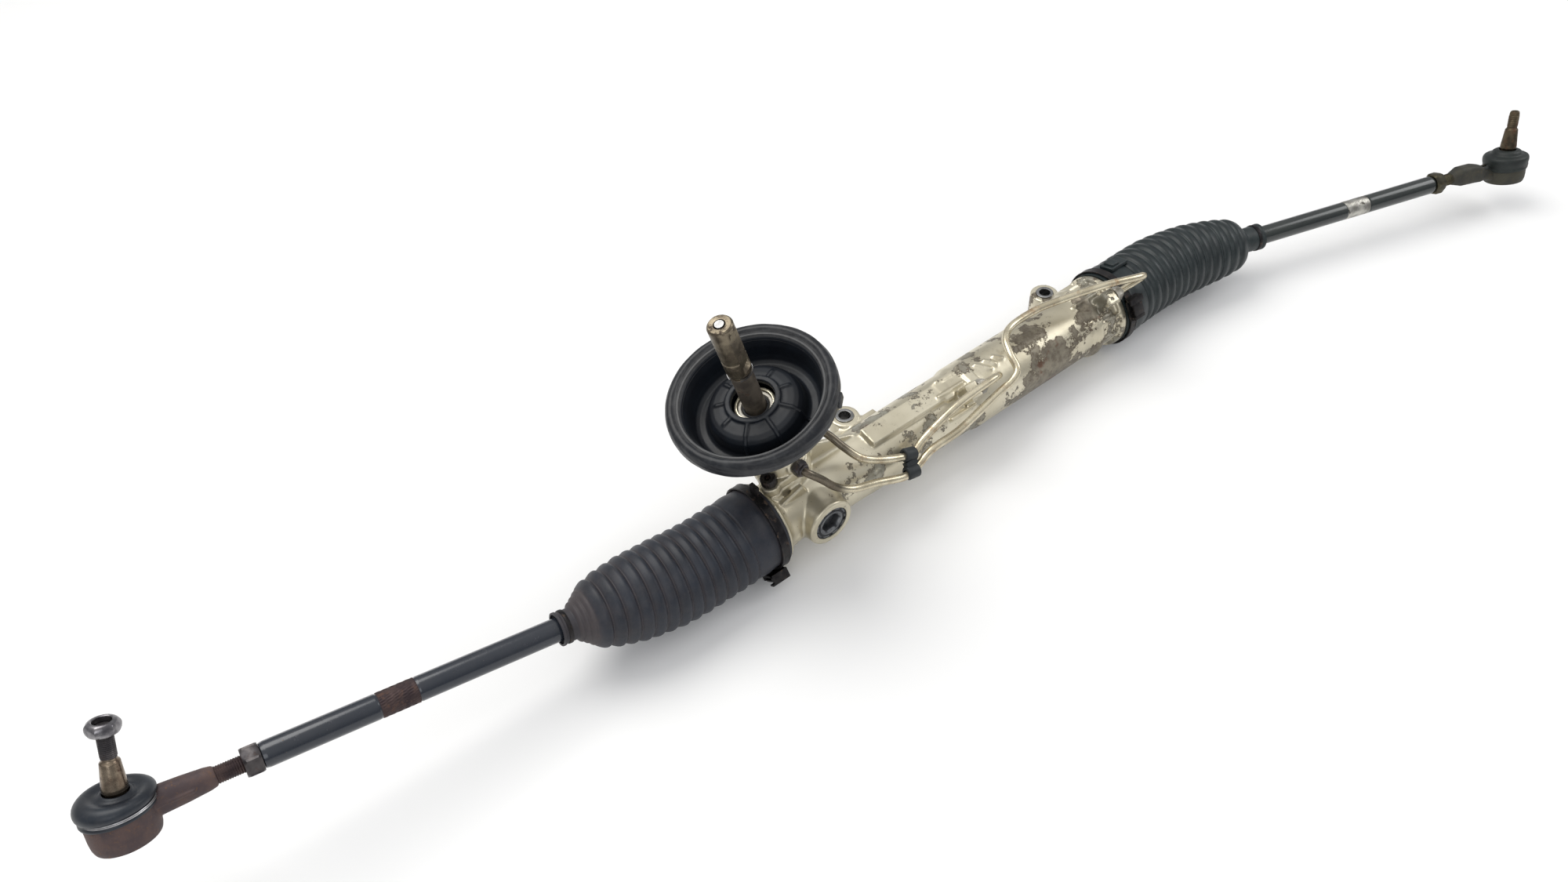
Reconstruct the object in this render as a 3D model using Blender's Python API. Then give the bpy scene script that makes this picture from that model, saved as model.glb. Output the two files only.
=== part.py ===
"""Hydraulic power-steering rack and pinion, as an assembly of separate pieces.

Frame: the origin is where the pinion crosses the rack's axis. +X runs along the rack from the
pinion end to the far end, +Z is up towards the input shaft, and +Y points to the side that
bolts to the vehicle. Lengths are metres.
"""
import math

import bmesh
import bpy
from mathutils import Matrix, Vector

MM = 0.001
GAP = 0.3 * MM

# Rack and gearing
RACK_RADIUS = 12.5 * MM
RACK_LEFT_END = -104.0 * MM
RACK_RIGHT_END = 441.0 * MM
MODULE = 1.9 * MM
PINION_TEETH = 8
PROFILE_SHIFT = 0.35
PRESSURE_ANGLE = math.radians(25.0)
BACKLASH = 0.3 * MM
RACK_REFERENCE_Y = 6.2 * MM
RACK_TIP_Y = RACK_REFERENCE_Y + 0.9 * MODULE
FIRST_TOOTH_SPACE = -11
LAST_TOOTH_SPACE = 14
TOOTH_CUT_REACH = 38.0 * MM
PINION_LEAN = math.radians(14.6)
PITCH_RADIUS = MODULE * PINION_TEETH / 2.0
PINION_Y = RACK_REFERENCE_Y + PITCH_RADIUS + PROFILE_SHIFT * MODULE
PINION_TIP_RADIUS = PITCH_RADIUS + 1.2 * MODULE
PINION_ROOT_RADIUS = 6.25 * MM
RACK_ROOT_Y = PINION_Y - PINION_TIP_RADIUS - 0.35 * MM

# Housing
BODY_RADIUS = 27.0 * MM
RACK_BORE_RADIUS = 13.5 * MM
SPIGOT_RADIUS = 32.0 * MM
SPIGOT_LENGTH = 14.0 * MM
STOP_BORE_RADIUS = 20.0 * MM
HOUSING_LEFT_END = -54.0 * MM
HOUSING_SPLIT_X = 60.0 * MM
TUBE_RIGHT_END = 371.0 * MM
TUBE_RADIUS = 28.0 * MM
CYLINDER_RADIUS = 30.0 * MM
CYLINDER_BORE_RADIUS = 20.0 * MM
CYLINDER_START_X = 166.0 * MM
BUSHING_START_X = 335.0 * MM
END_STOP_X = 356.0 * MM
PISTON_X = 265.0 * MM
PISTON_LENGTH = 14.0 * MM
LUG_X = (79.0 * MM, 327.0 * MM)
LUG_Y = 40.0 * MM
LUG_RADIUS = 13.0 * MM
LUG_HALF_HEIGHT = 12.0 * MM
SLEEVE_RADIUS = 8.0 * MM
SLEEVE_BORE_RADIUS = 5.2 * MM

# Pinion tower, with heights measured along the pinion axis
TOWER_RADIUS = 21.0 * MM
TOWER_TOP = 40.0 * MM
TOWER_BOTTOM = -40.0 * MM
FLANGE_THICKNESS = 8.0 * MM
FLANGE_BOLT_DISTANCE = 25.0 * MM
FLANGE_BOLT_ANGLES = (math.radians(-145.0), math.radians(35.0))
COVER_TOP = 88.0 * MM
SNOUT_TOP = 119.0 * MM
SHAFT_RADIUS = 9.5 * MM
SHAFT_HEAD_RADIUS = 10.5 * MM
SHAFT_NECK_RADIUS = 9.0 * MM
CIRCLIP_GROOVE_RADIUS = 7.8 * MM
SHAFT_TOP = 213.0 * MM
FLAT_ANGLE = math.radians(-60.0)
FLAT_DISTANCE = 7.5 * MM
FLAT_MIDDLE = 187.0 * MM
FLAT_LENGTH = 38.0 * MM
TORSION_BAR_RADIUS = 3.5 * MM
DISH_HUB_TOP = 126.5 * MM
DISH_HOLE_RADIUS = 17.0 * MM
DISH_RIM_HEIGHT = 131.5 * MM

# Yoke, which presses on the rack from -Y
YOKE_BORE_RADIUS = 17.4 * MM
YOKE_BOSS_RADIUS = 21.0 * MM
YOKE_BOSS_END = -36.0 * MM

# Inner ball joints
INNER_BALL_X = (-126.0 * MM, 463.0 * MM)
INNER_BALL_RADIUS = 13.0 * MM
INNER_JOINT_RADIUS = 19.0 * MM
SEAT_THICKNESS = 2.0 * MM
BALL_GAP = 0.5 * MM

# Tie rods, with distances measured from the inner ball
ROD_DIRECTIONS = (
    Vector((-0.983, 0.070, 0.170)).normalized(),
    Vector((0.950, -0.312, 0.015)).normalized(),
)
ROD_RADIUS = 9.0 * MM
ROD_LENGTH = 309.0 * MM
THREAD_RADIUS = 6.0 * MM
BOOT_SMALL_END = 101.0 * MM
BUCKLE_ANGLES = (math.radians(140.0), math.radians(60.0))
LOCKNUT_THICKNESS = 11.0 * MM
LOCKNUT_ACROSS_FLATS = 19.5 * MM
OUTER_BALL_DISTANCES = (392.0 * MM, 404.0 * MM)

# Outer ball joints
CUP_ROLLS = (math.radians(26.0), math.radians(18.5))
STUD_DIRECTIONS = (
    Vector((0.33, 0.36, 0.87)).normalized(),
    Vector((0.15, 0.27, 0.95)).normalized(),
)
CUP_RADIUS = 22.0 * MM
OUTER_BALL_RADIUS = 11.0 * MM
STUD_LENGTHS = (67.0 * MM, 56.0 * MM)

# Hydraulic pipes. A tower port is (height, angle); a port block is (place, turn, port radius)
PIPE_RADIUS = 3.0 * MM
TOWER_PORTS = ((54.0 * MM, math.radians(-84.0)), (58.0 * MM, math.radians(-12.0)))
PORT_FACE = 22.5 * MM
NUT_LENGTH = 9.0 * MM
PORT_BLOCK_LENGTH = 13.0 * MM
PORT_BLOCKS = (
    (166.0 * MM, math.radians(37.0), 38.0 * MM),
    (338.0 * MM, math.radians(31.0), 43.0 * MM),
)
PIPE_POINT_SPACING = 9.0 * MM

# Number of sides that round pieces are drawn with
WIDE_ROUND = 24
ROUND = 18
SMALL_ROUND = 16
THIN_ROUND = 12

SIDES = ("left", "right")
X_AXIS = Vector((1.0, 0.0, 0.0))
Y_AXIS = Vector((0.0, 1.0, 0.0))
Z_AXIS = Vector((0.0, 0.0, 1.0))
PINION_AXIS = Vector((-math.sin(PINION_LEAN), 0.0, math.cos(PINION_LEAN)))
PINION_SIDE = Vector((math.cos(PINION_LEAN), 0.0, math.sin(PINION_LEAN)))
PINION_ORIGIN = Vector((0.0, PINION_Y, 0.0))

MATERIAL_LOOKS = {
    "painted_aluminium": ((0.62, 0.60, 0.55), 0.45, 0.6),
    "ground_steel": ((0.55, 0.55, 0.56), 0.3, 1.0),
    "dark_steel": ((0.16, 0.15, 0.14), 0.5, 0.9),
    "rusty_forging": ((0.20, 0.13, 0.11), 0.75, 0.5),
    "olive_forging": ((0.10, 0.10, 0.08), 0.6, 0.6),
    "black_rod": ((0.02, 0.022, 0.028), 0.3, 0.3),
    "boot_rubber": ((0.025, 0.028, 0.033), 0.6, 0.0),
    "dish_plastic": ((0.015, 0.017, 0.02), 0.4, 0.0),
    "pipe_steel": ((0.66, 0.62, 0.52), 0.35, 0.8),
    "seat_plastic": ((0.75, 0.74, 0.70), 0.5, 0.0),
    "bearing_bronze": ((0.45, 0.30, 0.12), 0.4, 0.9),
}


def material(look):
    """Return the named material, made the first time it is asked for."""
    existing = bpy.data.materials.get(look)
    if existing:
        return existing
    colour, roughness, metallic = MATERIAL_LOOKS[look]
    made = bpy.data.materials.new(look)
    made.use_nodes = True
    shader = made.node_tree.nodes["Principled BSDF"]
    shader.inputs["Base Color"].default_value = (*colour, 1.0)
    shader.inputs["Roughness"].default_value = roughness
    shader.inputs["Metallic"].default_value = metallic
    return made


def own_material(name, look):
    """Give a piece its own copy of a shared look."""
    made = material(look).copy()
    made.name = name
    return made


def axis_frame(origin, axis, side=None):
    """Return a matrix whose local Z is the axis and whose local X is nearest to the side."""
    z = Vector(axis).normalized()
    guide = Vector(side) if side is not None else (X_AXIS if abs(z.x) < 0.9 else Z_AXIS)
    x = (guide - z * guide.dot(z)).normalized()
    y = z.cross(x)
    turn = Matrix((x, y, z)).transposed()
    return Matrix.Translation(origin) @ turn.to_4x4()


def make_object(name, mesh_builder, frame, look, smooth=True):
    """Turn a bmesh into a placed object with its own material."""
    bmesh.ops.recalc_face_normals(mesh_builder, faces=mesh_builder.faces)
    mesh = bpy.data.meshes.new(name)
    mesh_builder.to_mesh(mesh)
    mesh_builder.free()
    if smooth:
        mesh.shade_smooth()
        mesh.set_sharp_from_angle(angle=math.radians(35.0))
    mesh.materials.append(own_material(name, look))
    made = bpy.data.objects.new(name, mesh)
    location, rotation, _ = frame.decompose()
    made.location = location
    made.rotation_mode = "QUATERNION"
    made.rotation_quaternion = rotation
    bpy.context.collection.objects.link(made)
    return made


def bridge(builder, first, second):
    """Join two rings of vertices; a ring of one vertex is a point on the axis."""
    count = max(len(first), len(second))
    for index in range(count):
        following = (index + 1) % count
        if len(first) == 1:
            builder.faces.new((first[0], second[following], second[index]))
        elif len(second) == 1:
            builder.faces.new((first[index], first[following], second[0]))
        else:
            builder.faces.new((first[index], first[following], second[following], second[index]))


def turned(name, profile, frame, look, segments=ROUND):
    """Turn a closed (radius, height) outline round local Z.

    An outline that starts and ends on the axis makes a solid piece. Any other makes a ring.
    """
    builder = bmesh.new()
    rings = []
    for radius, height in profile:
        if radius < 1e-7:
            rings.append([builder.verts.new((0.0, 0.0, height))])
            continue
        ring = []
        for index in range(segments):
            angle = math.tau * index / segments
            ring.append(builder.verts.new((radius * math.cos(angle), radius * math.sin(angle), height)))
        rings.append(ring)
    solid = len(rings[0]) == 1 and len(rings[-1]) == 1
    pairs = list(zip(rings, rings[1:]))
    if not solid:
        pairs.append((rings[-1], rings[0]))
    for first, second in pairs:
        bridge(builder, first, second)
    return make_object(name, builder, frame, look)


def lofted(name, rings, look, segments=SMALL_ROUND):
    """Join rings given as (centre, axis, radius) into one closed sleeve."""
    builder = bmesh.new()
    loops = []
    for centre, axis, radius in rings:
        frame = axis_frame(centre, axis, Z_AXIS if abs(axis.z) < 0.7 else X_AXIS)
        loop = []
        for index in range(segments):
            angle = math.tau * index / segments
            local = Vector((radius * math.cos(angle), radius * math.sin(angle), 0.0))
            loop.append(builder.verts.new(frame @ local))
        loops.append(loop)
    for first, second in zip(loops, loops[1:] + loops[:1]):
        bridge(builder, first, second)
    return make_object(name, builder, Matrix.Identity(4), look)


def prism(name, outline, low, high, frame, look):
    """Extrude a local XY outline from one height to another."""
    builder = bmesh.new()
    bottom = [builder.verts.new((x, y, low)) for x, y in outline]
    top = [builder.verts.new((x, y, high)) for x, y in outline]
    builder.faces.new(list(reversed(bottom)))
    builder.faces.new(top)
    bridge(builder, bottom, top)
    return make_object(name, builder, frame, look, smooth=False)


def cylinder(name, radius, low, high, frame, look, segments=ROUND):
    """Make a plain cylinder along local Z."""
    return turned(name, [(0.0, low), (radius, low), (radius, high), (0.0, high)], frame, look, segments)


def ring(name, inner, outer, low, high, frame, look, segments=ROUND):
    """Make a plain ring along local Z."""
    return turned(name, [(inner, low), (outer, low), (outer, high), (inner, high)], frame, look, segments)


def block(name, size, frame, look):
    """Make a box centred on the frame's origin."""
    half_x = size[0] / 2.0
    half_y = size[1] / 2.0
    outline = [(-half_x, -half_y), (half_x, -half_y), (half_x, half_y), (-half_x, half_y)]
    return prism(name, outline, -size[2] / 2.0, size[2] / 2.0, frame, look)


def hexagon(across_flats):
    """Return a hexagon's corners."""
    radius = across_flats / math.sqrt(3.0)
    return [(radius * math.cos(math.radians(60.0 * k)), radius * math.sin(math.radians(60.0 * k)))
            for k in range(6)]


def move_and_split(mesh, place):
    """Move a mesh's points by a matrix, then split its faces so that each one is truly flat."""
    mesh.transform(place)
    builder = bmesh.new()
    builder.from_mesh(mesh)
    bmesh.ops.triangulate(builder, faces=builder.faces)
    builder.to_mesh(mesh)
    builder.free()


def merge_flat_faces(mesh):
    """Merge the slivers that a cut leaves in flat faces; the mesh is in millimetres here."""
    builder = bmesh.new()
    builder.from_mesh(mesh)
    bmesh.ops.remove_doubles(builder, verts=builder.verts, dist=0.002)
    bmesh.ops.dissolve_limit(builder, angle_limit=math.radians(0.02), verts=builder.verts,
                             edges=builder.edges)
    bmesh.ops.triangulate(builder, faces=builder.faces)
    builder.to_mesh(mesh)
    builder.free()


def combine(target, tool, operation):
    """Apply an exact Boolean to the target and remove the tool.

    Both shapes are enlarged for the cut, because thin features cut more cleanly at a large scale.
    """
    bpy.context.view_layer.update()
    enlarge = Matrix.Scale(1.0 / MM, 4)
    tool_place = target.matrix_world.inverted() @ tool.matrix_world
    move_and_split(target.data, enlarge)
    move_and_split(tool.data, enlarge @ tool_place)
    tool.matrix_world = target.matrix_world
    modifier = target.modifiers.new(operation, "BOOLEAN")
    modifier.operation = operation
    modifier.solver = "EXACT"
    modifier.object = tool
    bpy.context.view_layer.update()
    depsgraph = bpy.context.evaluated_depsgraph_get()
    result = bpy.data.meshes.new_from_object(target.evaluated_get(depsgraph))
    merge_flat_faces(result)
    result.transform(enlarge.inverted())
    target.modifiers.clear()
    old = target.data
    own = old.materials[0]
    target.data = result
    result.materials.clear()
    result.materials.append(own)
    bpy.data.meshes.remove(old)
    bpy.data.objects.remove(tool)
    return target


def add(target, tool):
    """Weld the tool's shape on to the target."""
    return combine(target, tool, "UNION")


def cut(target, tool):
    """Cut the tool's shape out of the target."""
    return combine(target, tool, "DIFFERENCE")


def arc(centre, radius, start, stop, steps):
    """Return (radius, height) points of an arc; angles are degrees from the +height axis."""
    points = []
    for index in range(steps + 1):
        angle = math.radians(start + (stop - start) * index / steps)
        points.append((radius * math.sin(angle), centre + radius * math.cos(angle)))
    return points


def rack_frame(x=0.0):
    """Return a frame whose local Z runs along the rack at the given place."""
    return axis_frame(Vector((x, 0.0, 0.0)), X_AXIS, Z_AXIS)


def pinion_frame():
    """Return the frame of the pinion axis: local Z up the shaft, local X along the rack."""
    return axis_frame(PINION_ORIGIN, PINION_AXIS, PINION_SIDE)


def tower_point(distance, angle):
    """Return a local XY place round the pinion axis."""
    return distance * math.cos(angle), distance * math.sin(angle)


# ---------------------------------------------------------------- housing

def pinion_housing():
    """Casting round the pinion: rack bore, tower, yoke boss and the left boot spigot."""
    look = "painted_aluminium"
    outside = [
        (0.0, HOUSING_LEFT_END), (SPIGOT_RADIUS, HOUSING_LEFT_END),
        (SPIGOT_RADIUS, HOUSING_LEFT_END + SPIGOT_LENGTH), (34.0 * MM, HOUSING_LEFT_END + SPIGOT_LENGTH),
        (34.0 * MM, -38.9 * MM), (31.0 * MM, -37.9 * MM), (28.5 * MM, -33.0 * MM),
        (BODY_RADIUS, -24.0 * MM),
        (BODY_RADIUS, HOUSING_SPLIT_X - 8.0 * MM), (30.0 * MM, HOUSING_SPLIT_X - 7.0 * MM),
        (30.0 * MM, HOUSING_SPLIT_X), (0.0, HOUSING_SPLIT_X),
    ]
    casting = turned("pinion_housing", outside, rack_frame(), look, WIDE_ROUND)
    tower = [
        (0.0, TOWER_BOTTOM), (15.5 * MM, TOWER_BOTTOM), (17.0 * MM, -24.0 * MM),
        (TOWER_RADIUS, -6.0 * MM), (TOWER_RADIUS, TOWER_TOP - MM), (0.0, TOWER_TOP - MM),
    ]
    add(casting, turned("tower", tower, pinion_frame(), look, ROUND))
    add(casting, flange_plate("tower_flange", TOWER_TOP - FLANGE_THICKNESS, TOWER_TOP))
    boss = [(0.0, 8.0 * MM), (YOKE_BOSS_RADIUS + 2.0 * MM, 8.0 * MM), (YOKE_BOSS_RADIUS, 27.0 * MM),
            (YOKE_BOSS_RADIUS, -YOKE_BOSS_END), (0.0, -YOKE_BOSS_END)]
    add(casting, turned("yoke_boss", boss, axis_frame(Vector(), -Y_AXIS), look, ROUND))
    rack_bore = [
        (0.0, HOUSING_LEFT_END - MM), (STOP_BORE_RADIUS, HOUSING_LEFT_END - MM),
        (STOP_BORE_RADIUS, -38.0 * MM), (RACK_BORE_RADIUS, -38.0 * MM),
        (RACK_BORE_RADIUS, HOUSING_SPLIT_X + MM), (0.0, HOUSING_SPLIT_X + MM),
    ]
    cut(casting, turned("rack_bore", rack_bore, rack_frame(), look, ROUND))
    pinion_bore = [
        (0.0, TOWER_BOTTOM - MM), (12.3 * MM, TOWER_BOTTOM - MM), (12.3 * MM, -33.0 * MM),
        (9.4 * MM, -33.0 * MM), (9.4 * MM, -18.0 * MM), (10.4 * MM, -17.0 * MM),
        (10.4 * MM, 17.6 * MM), (17.3 * MM, 17.6 * MM), (17.3 * MM, TOWER_TOP + MM), (0.0, TOWER_TOP + MM),
    ]
    cut(casting, turned("pinion_bore", pinion_bore, pinion_frame(), look, ROUND))
    yoke_frame = axis_frame(Vector(), -Y_AXIS)
    cut(casting, cylinder("yoke_bore", YOKE_BORE_RADIUS, 3.1 * MM, 37.0 * MM, yoke_frame, look, ROUND))
    for angle in FLANGE_BOLT_ANGLES:
        x, y = tower_point(FLANGE_BOLT_DISTANCE, angle)
        hole_frame = pinion_frame() @ Matrix.Translation((x, y, 0.0))
        cut(casting, cylinder("bolt_hole", 4.3 * MM, 24.0 * MM, TOWER_TOP + MM, hole_frame, look,
                              THIN_ROUND))
    return casting


def flange_plate(name, low, high):
    """Return the two-eared flange plate that the cover bolts clamp."""
    ear_radius = 8.0 * MM
    outline = []
    for angle in FLANGE_BOLT_ANGLES:
        centre_x, centre_y = tower_point(FLANGE_BOLT_DISTANCE, angle)
        for step in range(7):
            turn = angle + math.radians(-90.0 + 30.0 * step)
            outline.append((centre_x + ear_radius * math.cos(turn), centre_y + ear_radius * math.sin(turn)))
        side = angle + math.radians(90.0)
        outline.append(tower_point(TOWER_RADIUS + 5.0 * MM, side))
    return prism(name, outline, low, high, pinion_frame(), "painted_aluminium")


def cylinder_tube():
    """Long casting to the right of the pinion: rack tube, hydraulic cylinder, lugs and port bosses."""
    look = "painted_aluminium"
    start = HOUSING_SPLIT_X + GAP
    outside = [
        (0.0, start), (30.0 * MM, start), (30.0 * MM, start + 6.0 * MM), (TUBE_RADIUS, start + 8.0 * MM),
        (TUBE_RADIUS, 168.0 * MM), (CYLINDER_RADIUS, 174.0 * MM), (CYLINDER_RADIUS, 318.0 * MM),
        (32.0 * MM, 322.0 * MM), (32.0 * MM, 350.0 * MM), (34.5 * MM, 351.0 * MM), (34.5 * MM, 357.0 * MM),
        (SPIGOT_RADIUS, 357.0 * MM), (SPIGOT_RADIUS, TUBE_RIGHT_END), (0.0, TUBE_RIGHT_END),
    ]
    casting = turned("cylinder_tube", outside, rack_frame(), look, WIDE_ROUND)
    for lug_x in LUG_X:
        lug_frame = axis_frame(Vector((lug_x, LUG_Y, 0.0)), Z_AXIS)
        add(casting, cylinder("lug", LUG_RADIUS, -LUG_HALF_HEIGHT, LUG_HALF_HEIGHT, lug_frame, look,
                              SMALL_ROUND))
        web_frame = Matrix.Translation((lug_x, LUG_Y / 2.0 + 4.0 * MM, 0.0))
        web_size = (2.0 * LUG_RADIUS - 1.0 * MM, LUG_Y - 12.0 * MM, 2.0 * LUG_HALF_HEIGHT - 4.0 * MM)
        add(casting, block("lug_web", web_size, web_frame, look))
    ridge_turn = Matrix.Rotation(math.radians(9.0), 4, "X")
    ridge_frame = ridge_turn @ Matrix.Translation((118.0 * MM, 0.0, 25.6 * MM))
    add(casting, block("ridge", (110.0 * MM, 18.0 * MM, 10.0 * MM), ridge_frame, look))
    for port_x, port_turn, port_radius in PORT_BLOCKS:
        low = CYLINDER_BORE_RADIUS + 2.0 * MM
        high = port_radius + 5.0 * MM
        place = Matrix.Translation((port_x, 0.0, (low + high) / 2.0))
        port_frame = Matrix.Rotation(port_turn, 4, "X") @ place
        add(casting, block("port", (PORT_BLOCK_LENGTH, 14.0 * MM, high - low), port_frame, look))
    bore = [
        (0.0, start - MM), (RACK_BORE_RADIUS + 2.5 * MM, start - MM),
        (RACK_BORE_RADIUS + 2.5 * MM, CYLINDER_START_X), (CYLINDER_BORE_RADIUS, CYLINDER_START_X),
        (CYLINDER_BORE_RADIUS, TUBE_RIGHT_END + MM), (0.0, TUBE_RIGHT_END + MM),
    ]
    cut(casting, turned("tube_bore", bore, rack_frame(), look, ROUND))
    for lug_x in LUG_X:
        lug_frame = axis_frame(Vector((lug_x, LUG_Y, 0.0)), Z_AXIS)
        hole_radius = SLEEVE_RADIUS + GAP
        cut(casting, cylinder("lug_hole", hole_radius, -20.0 * MM, 20.0 * MM, lug_frame, look, SMALL_ROUND))
    return casting


def mount_sleeves():
    """Steel sleeves in the two lugs, which the mounting bolts pass through."""
    for name, lug_x in zip(("mount_sleeve_left", "mount_sleeve_right"), LUG_X):
        frame = axis_frame(Vector((lug_x, LUG_Y, 0.0)), Z_AXIS)
        height = LUG_HALF_HEIGHT + MM
        ring(name, SLEEVE_BORE_RADIUS, SLEEVE_RADIUS, -height, height, frame, "ground_steel", SMALL_ROUND)


def rack_supports():
    """Bushing at the far end of the cylinder and the seal at its near end."""
    bushing = [
        (12.8 * MM, BUSHING_START_X), (CYLINDER_BORE_RADIUS - GAP, BUSHING_START_X),
        (CYLINDER_BORE_RADIUS - GAP, END_STOP_X), (12.8 * MM, END_STOP_X),
    ]
    turned("rack_bushing", bushing, rack_frame(), "bearing_bronze", ROUND)
    seal_start = CYLINDER_START_X + GAP
    seal = [
        (12.8 * MM, seal_start), (CYLINDER_BORE_RADIUS - GAP, seal_start),
        (CYLINDER_BORE_RADIUS - GAP, seal_start + 9.0 * MM), (12.8 * MM, seal_start + 9.0 * MM),
    ]
    turned("rack_seal", seal, rack_frame(), "boot_rubber", ROUND)


# ---------------------------------------------------------------- yoke

def yoke_group():
    """Support yoke, its spring and the staked plug that closes the boss."""
    frame = axis_frame(Vector(), -Y_AXIS, X_AXIS)
    radius = YOKE_BORE_RADIUS - GAP
    body = [
        (0.0, 5.0 * MM), (radius, 5.0 * MM), (radius, 24.0 * MM), (8.3 * MM, 24.0 * MM),
        (8.3 * MM, 16.0 * MM), (0.0, 16.0 * MM),
    ]
    yoke = turned("rack_yoke", body, frame, "bearing_bronze", ROUND)
    cut(yoke, cylinder("rack_clearance", RACK_RADIUS + GAP, -30.0 * MM, 30.0 * MM, rack_frame(),
                       "dark_steel", ROUND))
    yoke_spring(frame)
    plug = [(0.0, 27.6 * MM), (radius, 27.6 * MM), (radius, 35.0 * MM), (radius - MM, -YOKE_BOSS_END),
            (0.0, -YOKE_BOSS_END)]
    made = turned("yoke_plug", plug, frame, "dark_steel", ROUND)
    cut(made, prism("plug_socket", hexagon(17.0 * MM), 30.0 * MM, 40.0 * MM, frame, "dark_steel"))


def yoke_spring(frame):
    """Coil spring between the yoke's pocket and the plug."""
    wire_radius = 1.1 * MM
    coil_radius = 6.0 * MM
    turns = 3.5
    low = 16.0 * MM + GAP + wire_radius
    high = 27.6 * MM - GAP - wire_radius
    steps = 28
    points = []
    for index in range(steps + 1):
        angle = math.tau * turns * index / steps
        height = low + (high - low) * index / steps
        points.append(frame @ Vector((coil_radius * math.cos(angle), coil_radius * math.sin(angle),
                                      height)))
    round_wire("yoke_spring", points, wire_radius, "ground_steel", 0)


def round_wire(name, points, radius, look, resolution):
    """Make a round bar along a list of points, with flat closed ends."""
    curve = bpy.data.curves.new(name, "CURVE")
    curve.dimensions = "3D"
    spline = curve.splines.new("POLY")
    spline.points.add(len(points) - 1)
    for place, point in zip(spline.points, points):
        place.co = (*point, 1.0)
    curve.bevel_depth = radius
    curve.bevel_resolution = resolution
    curve.use_fill_caps = True
    curve.materials.append(own_material(name, look))
    made = bpy.data.objects.new(name, curve)
    bpy.context.collection.objects.link(made)
    return made


# ---------------------------------------------------------------- rack body

def rack_bar():
    """Round bar with the tooth spaces cut across its +Y side, parallel to the pinion axis."""
    bar_outline = [
        (0.0, RACK_LEFT_END + 18.0 * MM), (7.3 * MM, RACK_LEFT_END + 18.0 * MM), (7.3 * MM, RACK_LEFT_END),
        (RACK_RADIUS, RACK_LEFT_END), (RACK_RADIUS, RACK_RIGHT_END), (7.3 * MM, RACK_RIGHT_END),
        (7.3 * MM, RACK_RIGHT_END - 18.0 * MM), (0.0, RACK_RIGHT_END - 18.0 * MM),
    ]
    bar = turned("rack_bar", bar_outline, rack_frame(), "ground_steel", ROUND)
    pitch = math.pi * MODULE
    slope = math.tan(PRESSURE_ANGLE)
    middle_half = pitch / 4.0 + BACKLASH / 2.0
    root_half = middle_half - (RACK_REFERENCE_Y - RACK_ROOT_Y) * slope
    tip_half = middle_half + (RACK_TIP_Y - RACK_REFERENCE_Y) * slope
    top = 16.0 * MM
    start = FIRST_TOOTH_SPACE * pitch - 4.5 * MM
    stop = LAST_TOOTH_SPACE * pitch + 5.0 * MM
    outline = [(start, top), (start, RACK_TIP_Y)]
    for space in range(FIRST_TOOTH_SPACE, LAST_TOOTH_SPACE + 1):
        centre = space * pitch
        outline += [(centre - tip_half, RACK_TIP_Y), (centre - root_half, RACK_ROOT_Y),
                    (centre + root_half, RACK_ROOT_Y), (centre + tip_half, RACK_TIP_Y)]
    outline += [(stop, RACK_TIP_Y), (stop, top)]
    comb_frame = axis_frame(Vector(), PINION_AXIS, PINION_SIDE)
    cut(bar, prism("tooth_spaces", outline, -TOOTH_CUT_REACH, TOOTH_CUT_REACH, comb_frame, "ground_steel"))


def piston():
    """Hydraulic piston ring on the rack."""
    low = PISTON_X - PISTON_LENGTH / 2.0
    high = PISTON_X + PISTON_LENGTH / 2.0
    inner = RACK_RADIUS + GAP
    outer = CYLINDER_BORE_RADIUS - GAP
    groove = outer - 1.5 * MM
    profile = [
        (inner, low), (outer, low), (outer, low + 5.0 * MM), (groove, low + 5.0 * MM),
        (groove, high - 5.0 * MM), (outer, high - 5.0 * MM), (outer, high), (inner, high),
    ]
    turned("piston", profile, rack_frame(), "dark_steel", ROUND)


def inner_joint_housing(side, ball_x, outward):
    """Steel shell screwed into the rack's end, open outwards round the ball."""
    frame = axis_frame(Vector((ball_x, 0.0, 0.0)), X_AXIS * outward, Z_AXIS)
    back = -22.0 * MM + GAP
    cavity = INNER_BALL_RADIUS + 2.0 * BALL_GAP + SEAT_THICKNESS
    profile = [(0.0, back - 16.0 * MM), (7.0 * MM, back - 16.0 * MM), (7.0 * MM, back),
               (INNER_JOINT_RADIUS - 3.0 * MM, back), (INNER_JOINT_RADIUS, back + 3.0 * MM),
               (INNER_JOINT_RADIUS, 6.0 * MM), (16.0 * MM, 12.5 * MM)]
    profile += arc(0.0, cavity, 56.0, 180.0, 8)[:-1]
    profile += [(0.0, -cavity)]
    turned("inner_joint_housing_" + side, profile, frame, "dark_steel", SMALL_ROUND)


def ball_shell(name, inner, start, stop, frame, steps):
    """Zone of a spherical shell between two angles from local +Z."""
    outer = inner + SEAT_THICKNESS
    profile = arc(0.0, outer, start, stop, steps) + arc(0.0, inner, stop, start, steps)
    if stop >= 180.0:
        profile = arc(0.0, inner, 180.0, start, steps)[1:] + arc(0.0, outer, start, 180.0, steps)[:-1]
        profile = [(0.0, -inner)] + profile + [(0.0, -outer)]
    turned(name, profile, frame, "seat_plastic", SMALL_ROUND)


# ---------------------------------------------------------------- pinion and input shaft

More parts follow.
